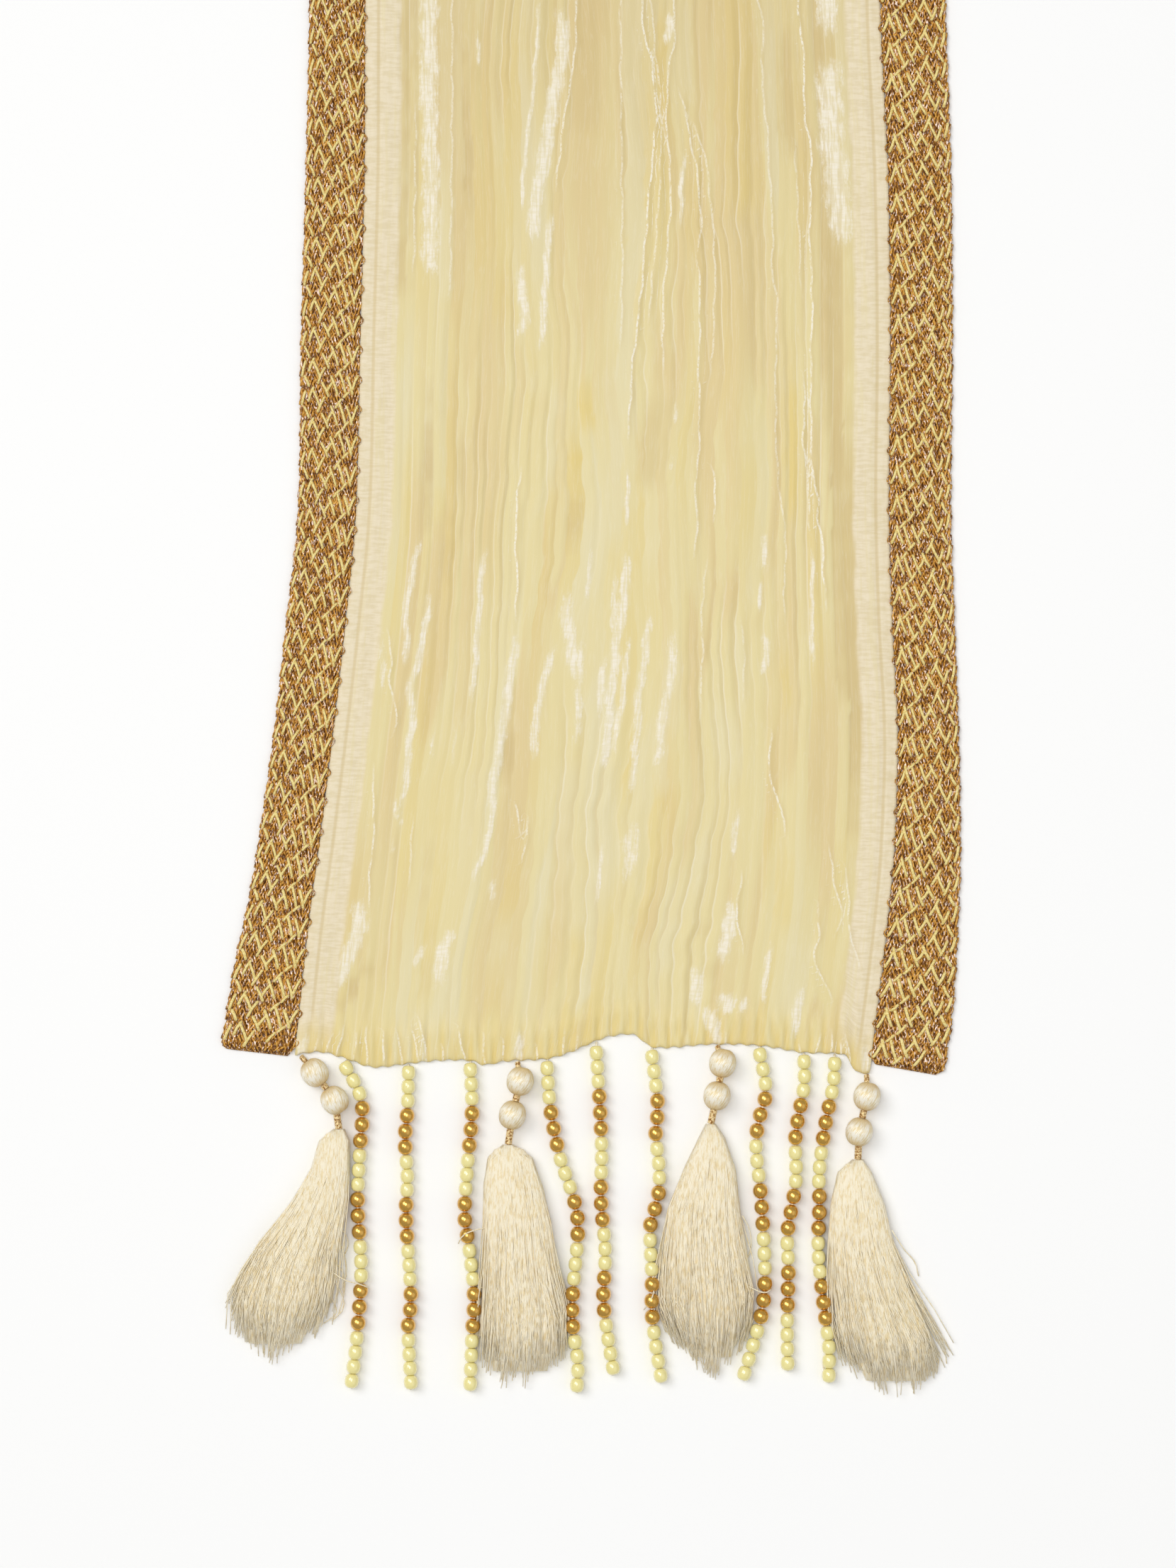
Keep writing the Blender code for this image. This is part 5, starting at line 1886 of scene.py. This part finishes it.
@dataclass
class TasselDrop:
    """Two silk-wound balls on gilt wire necks, which carry a tassel.

    Attributes:
        number: The drop's number from the left, from 0.
        hem_down: The near hem's line.
    """

    number: int
    hem_down: Callable[[float], float]
    ball_radius: float = 5.7
    ball_half_length: float = 6.1
    ball_height: float = 5.95
    ridges: int = 36
    ridge_depth: float = 0.06
    fullness: float = 0.86
    twist: float = 0.35
    pole_sink: float = 0.45
    neck_radius: float = 1.6
    tie_radius: float = 1.2
    tie_height: float = 2.0
    head_height: float = 5.0
    wire_radius: float = 0.3

    def ball(self, name: str, node: str, middle: Vector, way: Vector, silk: object) -> None:
        """Winds one ball, its threads running from pole to pole with a slight twist.

        Args:
            name: The piece's name.
            node: The node that it stands for.
            middle: The ball's middle, in metres.
            way: The direction from pole to pole.
            silk: The wound silk.
        """
        bm = bmesh.new()
        bmesh.ops.create_uvsphere(bm, u_segments=2 * self.ridges, v_segments=20, radius=1.0)
        winding = bm.verts.layers.float_vector.new("winding")
        around = bm.verts.layers.float_vector.new("around")
        placing = aimed(middle, way)
        for vertex in bm.verts:
            angle = math.atan2(vertex.co.y, vertex.co.x)
            pole = vertex.co.z
            girth = math.sqrt(max(1 - pole * pole, 0.0))
            step = round(angle / TAU * 2 * self.ridges)
            ridge = self.ridge_depth * (0.5 if step % 2 else -0.5) * min(girth * 1.6, 1.0)
            radius = self.ball_radius * girth**self.fullness + ridge
            twisted = angle + self.twist * pole
            across, beside = math.cos(twisted), math.sin(twisted)
            sink = self.pole_sink * bump(girth, 0.3)
            vertex[winding] = Vector((0.5 + angle / TAU, pole, 0.0))
            vertex[around] = placing.to_3x3() @ Vector((-beside, across, 0.0))
            along = self.ball_half_length * pole - math.copysign(sink, pole)
            vertex.co = [part * MM for part in (radius * across, radius * beside, along)]
        bmesh.ops.transform(bm, matrix=placing, verts=bm.verts)
        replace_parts(finished(name, mesh_from(name, bm), [silk]), node)

    def neck(
        self, name: str, node: str, start: Vector, end: Vector, radius: float, wire: object
    ) -> None:
        """Winds one neck with close turns of wire round a core.

        Args:
            name: The piece's name.
            node: The node that it stands for.
            start: One end, in metres.
            end: The other end, in metres.
            radius: The neck's radius over the wire, in millimetres.
            wire: The gilt wire.
        """
        length = (end - start).length
        turns = max(round(length / (1.9 * self.wire_radius * MM)), 2)
        bm = bmesh.new()
        bmesh.ops.create_circle(bm, cap_ends=False, segments=6, radius=self.wire_radius * MM)
        upright = Matrix.Rotation(math.pi / 2, 3, "X")
        bmesh.ops.rotate(bm, cent=(0, 0, 0), matrix=upright, verts=bm.verts)
        core = (radius - self.wire_radius) * MM
        bmesh.ops.translate(bm, vec=(core, 0, -length / 2), verts=bm.verts)
        steps = turns * 12
        bmesh.ops.spin(
            bm,
            geom=[*bm.verts, *bm.edges],
            cent=(0, 0, 0),
            axis=(0, 0, 1),
            dvec=(0, 0, length / steps),
            angle=TAU * turns,
            steps=steps,
            use_merge=False,
        )
        bmesh.ops.holes_fill(bm, edges=[edge for edge in bm.edges if edge.is_boundary], sides=6)
        bmesh.ops.create_cone(
            bm, cap_ends=True, segments=12, radius1=core, radius2=core, depth=length
        )
        bmesh.ops.recalc_face_normals(bm, faces=bm.faces)
        placing = aimed((start + end) / 2, end - start)
        bmesh.ops.transform(bm, matrix=placing, verts=bm.verts)
        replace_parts(finished(name, mesh_from(name, bm), [wire]), node)

    def build(self, silk: object, wire: object) -> None:
        """Builds the two balls and the three necks.

        Args:
            silk: The wound silk.
            wire: The gilt wire.
        """
        drop, label = DROPS[self.number], self.number + 1
        upper = down_point(*drop.upper, self.ball_height)
        lower = down_point(*drop.lower, self.ball_height)
        head = down_point(*drop.head, self.head_height)
        hem = self.hem_down(drop.tie_across)
        slope = (upper - down_point(drop.tie_across, hem, self.tie_height)).normalized()
        reach = self.tie_radius * math.sqrt(1 - slope.y**2)
        tie = down_point(drop.tie_across, hem + SEAM_GAP + reach, self.tie_height)
        between = (lower - upper).normalized()
        from_tie = (upper - tie).normalized()
        to_head = (head - lower).normalized()
        pole = (self.ball_half_length - 0.1) * MM
        for word, middle in (("upper", upper), ("lower", lower)):
            self.ball(f"silk_ball_{label}_{word}", f"ball_{label}_{word}", middle, between, silk)
        necks = (
            ("tie", tie, upper - from_tie * pole, self.tie_radius),
            ("middle", upper + between * pole, lower - between * pole, self.neck_radius),
            ("lower", lower + to_head * pole, head - to_head * SEAM_GAP * MM, self.neck_radius),
        )
        for word, start, end, radius in necks:
            name, node = f"wire_neck_{label}_{word}", f"neck_{label}_{word}"
            self.neck(name, node, start, end, radius, wire)


class Lock(NamedTuple):
    """A lock of a tassel's threads: its place round it, its reach, and how it sways."""

    angle: float
    reach: float
    sway: float
    phase: float


@dataclass
class SilkTassel:
    """A tassel of loose floss: a full head, and threads that part towards their tips.

    Attributes:
        number: The tassel's number from the left, from 0.
        threads: How many threads lie over the core.
        locks: How many locks they draw together in.
        thread_radius: A thread's radius near the head.
        frizz: How far a thread wanders near its tip.
        sway: How far a lock does.
        rounding: How much sooner the threads at the sides end.
        core: The core's size, to the tassel's.
        core_end: How far down it ends, as a share of the tassel.
        wisps: The share of threads that stand away from the rest.
    """

    number: int
    threads: int = 600
    locks: int = 44
    thread_radius: float = 0.25
    frizz: float = 0.9
    sway: float = 1.6
    rounding: float = 0.11
    core: float = 0.93
    core_end: float = 0.93
    wisps: float = 0.11
    head_height: float = 5.0
    head_sag: float = 12.0
    clearance: float = 0.3
    seed: int = 21

    def __post_init__(self) -> None:
        """Reads the outline's columns once."""
        rows = TASSEL_OUTLINES[self.number]
        self.top, self.tip = rows[0].down, rows[-1].down
        self.left, self.right = column(rows, "left"), column(rows, "right")
        self.height = smooth_reader((0.0, 10.0, 30.0, 65.0, 100.0), (4.8, 7.4, 9.4, 7.6, 3.4))

    def place(self, angle: float, out: float, share: float, slip: float = 0.0) -> Vector:
        """A point of the tassel.

        Args:
            angle: Round its section, 0 being the right side and a quarter turn the top.
            out: How far out from the section's middle, from 0 to 1.
            share: How far down the tassel, from 0 at the head to 1.
            slip: Millimetres to the right.

        Returns:
            The point in metres.
        """
        down = self.top + share * (self.tip - self.top)
        left, right = self.left(down), self.right(down)
        from_head = min(down - self.top, 9.0) / 9.0
        out *= 0.82 + 0.18 * math.sqrt(max(1 - (1 - from_head) ** 2, 0.0))
        height = self.height(min(share, 1.0) * 100.0)
        middle = max(self.head_height - self.head_sag * share, self.clearance + height / 2)
        across = (left + right) / 2 + out * math.cos(angle) * (right - left) / 2 + slip
        lift = middle + out * math.sin(angle) * height / 2
        return down_point(across, down, max(lift, self.clearance + 0.1))

    def add_core(self, bm: bmesh.types.BMesh) -> None:
        """Adds the closed core under the threads, as rings drawn out from the head.

        Args:
            bm: The mesh to add it to.
        """
        shares = (0.0, 0.02, 0.05, 0.1, 0.18, 0.3, 0.42, 0.54, 0.66, 0.74, 0.8, self.core_end)
        sides = 28
        made = bmesh.ops.create_circle(bm, cap_ends=True, segments=sides, radius=1.0)["verts"]
        angles = [math.atan2(vertex.co.y, vertex.co.x) for vertex in made]
        ring = list(made)
        edges = list({edge for vertex in ring for edge in vertex.link_edges})
        for vertex, angle in zip(ring, angles):
            vertex.co = self.place(angle, self.core * 0.8, shares[0])
        turns = dict(zip(ring, angles))
        for share in shares[1:]:
            grown = bmesh.ops.extrude_edge_only(bm, edges=edges)["geom"]
            fresh = [item for item in grown if isinstance(item, bmesh.types.BMVert)]
            edges = [
                item for item in grown if isinstance(item, bmesh.types.BMEdge) and item.is_boundary
            ]
            moved = {}
            for vertex in fresh:
                parent = next(
                    edge.other_vert(vertex) for edge in vertex.link_edges
                    if edge.other_vert(vertex) in turns
                )
                moved[vertex] = turns[parent]
            for vertex, angle in moved.items():
                taper = 1 - 0.2 * ease(share, 0.7, 0.94)
                vertex.co = self.place(angle, self.core * taper, share)
            turns = moved
        bmesh.ops.contextual_create(bm, geom=edges)

    def build(self, silk: object) -> None:
        """Builds the core and the threads over it.

        Args:
            silk: The tassel's floss.
        """
        rng = Random(self.seed + self.number)
        work = ThreadWork(f"tassel_threads_{self.number + 1}")
        stops = (0.0, 0.07, 0.22, 0.42, 0.62, 0.82, 1.0)
        locks = [
            Lock(
                math.pi * (-0.16 + 1.32 * (number + rng.random()) / self.locks),
                rng.uniform(0.87, 1.0),
                rng.gauss(0.0, self.sway),
                rng.uniform(0.0, TAU),
            )
            for number in range(self.locks)
        ]
        for _ in range(self.threads):
            lock = rng.choice(locks)
            spread = rng.gauss(0.0, 0.17)
            out = rng.choice((1.0, 1.0, 0.98, 0.96, rng.uniform(0.86, 0.95)))
            side = math.cos(lock.angle + 0.5 * spread)
            reach = lock.reach * rng.uniform(0.9, 1.03) * (1 - self.rounding * side * side)
            wave, pace = rng.uniform(0.2, 1.0) * self.frizz, rng.uniform(1.4, 3.6)
            stray = rng.uniform(0.06, 0.3) if rng.random() < self.wisps else -0.02
            phase = rng.uniform(0.0, TAU)
            points, radii = [], []
            for stop in stops:
                loose = ease(stop, 0.2, 1.0)
                gathered = spread * (1 - 0.6 * ease(stop, 0.55, 1.0))
                slip = wave * loose * math.sin(pace * TAU * stop + phase)
                slip += lock.sway * loose * loose + 0.7 * math.sin(5.0 * stop + lock.phase) * loose
                turn = lock.angle + gathered + 0.05 * math.sin(9.0 * stop + phase)
                points.append(self.place(turn, out * (1 + stray * loose), stop * reach, slip))
                radii.append(self.thread_radius * (1 - 0.2 * stop))
            work.add(points, radii)
        threads = work.mesh()
        bm = bmesh.new()
        bm.from_mesh(threads)
        bpy.data.meshes.remove(threads)
        self.add_core(bm)
        bmesh.ops.recalc_face_normals(bm, faces=bm.faces)
        name = f"silk_tassel_{self.number + 1}"
        piece = finished(name, mesh_from(name, bm), [silk])
        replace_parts(piece, f"tassel_{self.number + 1}")


# The loose threads, through points across, down and over the floor, from their tassels outwards
STRAY_ROUTES = (
    ((-109, 66, 5), (-104.6, 70.5, 3.6), (-102.6, 76, 2.4), (-104, 80.5, 2)),
    ((-109, 73, 5), (-105, 78, 3), (-103.4, 88, 1.6), (-105.2, 96, 1.2)),
    ((-111, 84, 4.6), (-106, 86, 3), (-104, 95, 1.6), (-107, 107, 1.2)),
    ((-112, 88, 4.4), (-107, 94, 2.6), (-104.4, 103, 1.4), (-109.5, 109, 1.2)),
    ((-112, 93, 4.4), (-109, 100, 2.6), (-107.8, 106, 1.4), (-113, 110, 1.2)),
    ((-112, 86, 4.4), (-104, 91, 6.4), (-98, 92.6, 7), (-93.8, 94.6, 4.4)),
    ((-43, 69, 6), (-49, 70, 6.6), (-54, 72.4, 6.8), (-56, 76, 3.4)),
    ((-43, 96, 5), (-48, 94, 3.4), (-47, 101, 1.8), (-45, 108, 1.4)),
    ((32.6, 88, 5), (28.2, 91, 3), (25.6, 99, 6.8), (22.4, 104, 3)),
    ((33, 98, 5), (29.8, 101, 2.8), (30, 108, 1.6), (33, 113, 1.4)),
    ((35, 104, 4.6), (31, 108, 2.4), (32.4, 114, 1.4), (36, 116, 1.4)),
    ((64, 64, 6), (67, 70, 4), (67.6, 78, 2.6), (65.6, 84, 2.2)),
    ((63, 92, 5), (69, 95, 6.6), (73.6, 96.4, 6.9), (76.4, 95, 4)),
    ((127, 70, 6), (132, 78, 3.6), (137, 84, 1.8), (138.6, 90, 1.2)),
    ((136, 98, 4), (143, 108, 2.6), (149, 118, 1.4), (150.5, 127, 1.2)),
    ((138, 108, 4), (144, 116, 2.2), (147, 124, 1.4), (146.4, 131, 1.2)),
    ((104.6, 112, 4), (100.4, 120, 2.4), (98, 128, 1.4), (101.6, 133, 1.2)),
)  # fmt: skip


@dataclass
class StrayThreads:
    """The loose threads that have slipped out of the tassels.

    Attributes:
        radius: A thread's radius.
        keys: How far along a route its points lie, in hundredths.
        stops: The places along it that get a point.
    """

    radius: float = 0.27
    keys: tuple[float, ...] = (0.0, 30.0, 70.0, 100.0)
    stops: tuple[float, ...] = (0.0, 10.0, 22.0, 36.0, 50.0, 64.0, 78.0, 90.0, 100.0)

    def build(self, silk: object) -> None:
        """Builds them as one piece."""
        work = ThreadWork("stray_threads")
        for route in STRAY_ROUTES:
            readers = [smooth_reader(self.keys, values) for values in zip(*route)]
            points = [down_point(*[read(stop) for read in readers]) for stop in self.stops]
            work.add(points, [self.radius] * len(points))
        finished("stray_threads", work.mesh(), [silk])


# The studio


@dataclass(frozen=True)
class Studio:
    """A pale floor, soft light and a camera straight above the near end, all in metres.

    Attributes:
        middle: What the camera looks at, on the floor.
        seen_length: How much of the floor the picture covers along the stole.
        distance: The camera's height.
        sensor: The sensor's long side, in millimetres.
        floor_colour: The floor's colour.
        floor_shade: What its faint unevenness leans to.
        floor_grain: How coarse that is, in millimetres.
        softbox_size: The softbox's width.
        softbox_watts: Its power.
    """

    middle: tuple[float, float] = (-0.0012, -0.81285)
    seen_length: float = 0.6636
    distance: float = 1.9
    sensor: float = 36.0
    floor_colour: str = "#FFFFFE"
    floor_shade: str = "#D8D6D2"
    floor_grain: float = 1 / 0.6
    softbox_size: float = 1.1
    softbox_watts: float = 15.0

    def camera(self) -> None:
        """Places the camera, with the stole's length up the picture."""
        data = bpy.data.cameras.new("camera")
        data.sensor_width = self.sensor
        data.lens = self.sensor * self.distance / self.seen_length
        data.clip_end = 20.0
        camera = linked("camera", data)
        camera.location = (*self.middle, self.distance)
        bpy.context.scene.camera = camera

    def sun(self, name: str, way: Vector, strength: float, angle: float) -> None:
        """Adds an even soft light from far off.

        Args:
            name: The light's name.
            way: Where it shines from.
            strength: Its strength.
            angle: How wide it looks, in degrees.
        """
        data = bpy.data.lights.new(name, "SUN")
        data.energy, data.angle = strength, math.radians(angle)
        light = linked(name, data)
        light.rotation_mode = "QUATERNION"
        light.rotation_quaternion = way.to_track_quat("Z", "Y")

    def lights(self) -> None:
        """Sets the soft key, the fill, the softbox overhead and the white surroundings."""
        self.sun("key", Vector((-0.7, 0.5, 1.1)), 0.95, 30.0)
        self.sun("fill", Vector((0.8, -0.2, 0.9)), 0.25, 50.0)
        data = bpy.data.lights.new("softbox", "AREA")
        data.shape, data.size, data.energy = "DISK", self.softbox_size, self.softbox_watts
        softbox = linked("softbox", data)
        softbox.location = (self.middle[0] - 0.2, self.middle[1] + 0.16, self.distance + 0.3)
        world = bpy.data.worlds.new("studio")
        world.use_nodes = True
        background = world.node_tree.nodes["Background"]
        background.inputs["Color"].default_value = (1.0, 1.0, 1.0, 1.0)
        background.inputs["Strength"].default_value = 0.4
        bpy.context.scene.world = world
        bpy.context.scene.view_settings.view_transform = "Standard"

    def floor(self) -> None:
        """Lays the floor, with its faint unevenness."""
        bm = bmesh.new()
        bmesh.ops.create_grid(bm, x_segments=4, y_segments=4, size=4.0)
        mesh = mesh_from("studio_floor", bm, smooth=False)
        paper = Surface("matt_paper", Roughness=0.9, Specular_IOR_Level=0.1)
        tooth = paper.cells((self.floor_grain,) * 3, 2.0)
        paper.colour(paper.tint(self.floor_colour, tooth, 0.01, self.floor_shade))
        mesh.materials.append(paper.material)
        linked("studio_floor", mesh)

    def build(self) -> None:
        """Builds the studio."""
        self.camera()
        self.lights()
        self.floor()


def main() -> None:
    """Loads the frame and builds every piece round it."""
    logging.basicConfig(level=logging.INFO, format="%(message)s")
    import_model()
    Studio().build()

    velvet = CrushedVelvet().make()
    plait = [LameYarn().make(), SilkCord().make(), PlaitGround().make()]
    lemon = BeadGlass("lemon_pearl", "#F5E99E", 0.0, 0.3, 1.7).make()
    gold = BeadGlass("gold_lustre", "#DDAA40", 0.8, 0.26, 1.6).make()
    wound, floss, wire = WoundSilk().make(), TasselSilk().make(), GiltWire().make()

    plan = ClothPlan()
    VelvetPanel(plan).build(velvet)
    log.info("velvet panel: two stretches")
    for side in Side:
        PlaitedBraid(side, plan).build(plait)
        log.info("plaited braid: %s", side.name.lower())
    for number in range(len(STRING_ROUTES)):
        BeadString(number, plan.hem_down).build([lemon, gold, floss])
        log.info("bead string %d", number + 1)
    for number in range(len(DROPS)):
        TasselDrop(number, plan.hem_down).build(wound, wire)
        SilkTassel(number).build(floss)
        log.info("tassel drop %d", number + 1)

    StrayThreads().build(floss)
    log.info("stray threads: %d", len(STRAY_ROUTES))


if __name__ == "__main__":
    main()
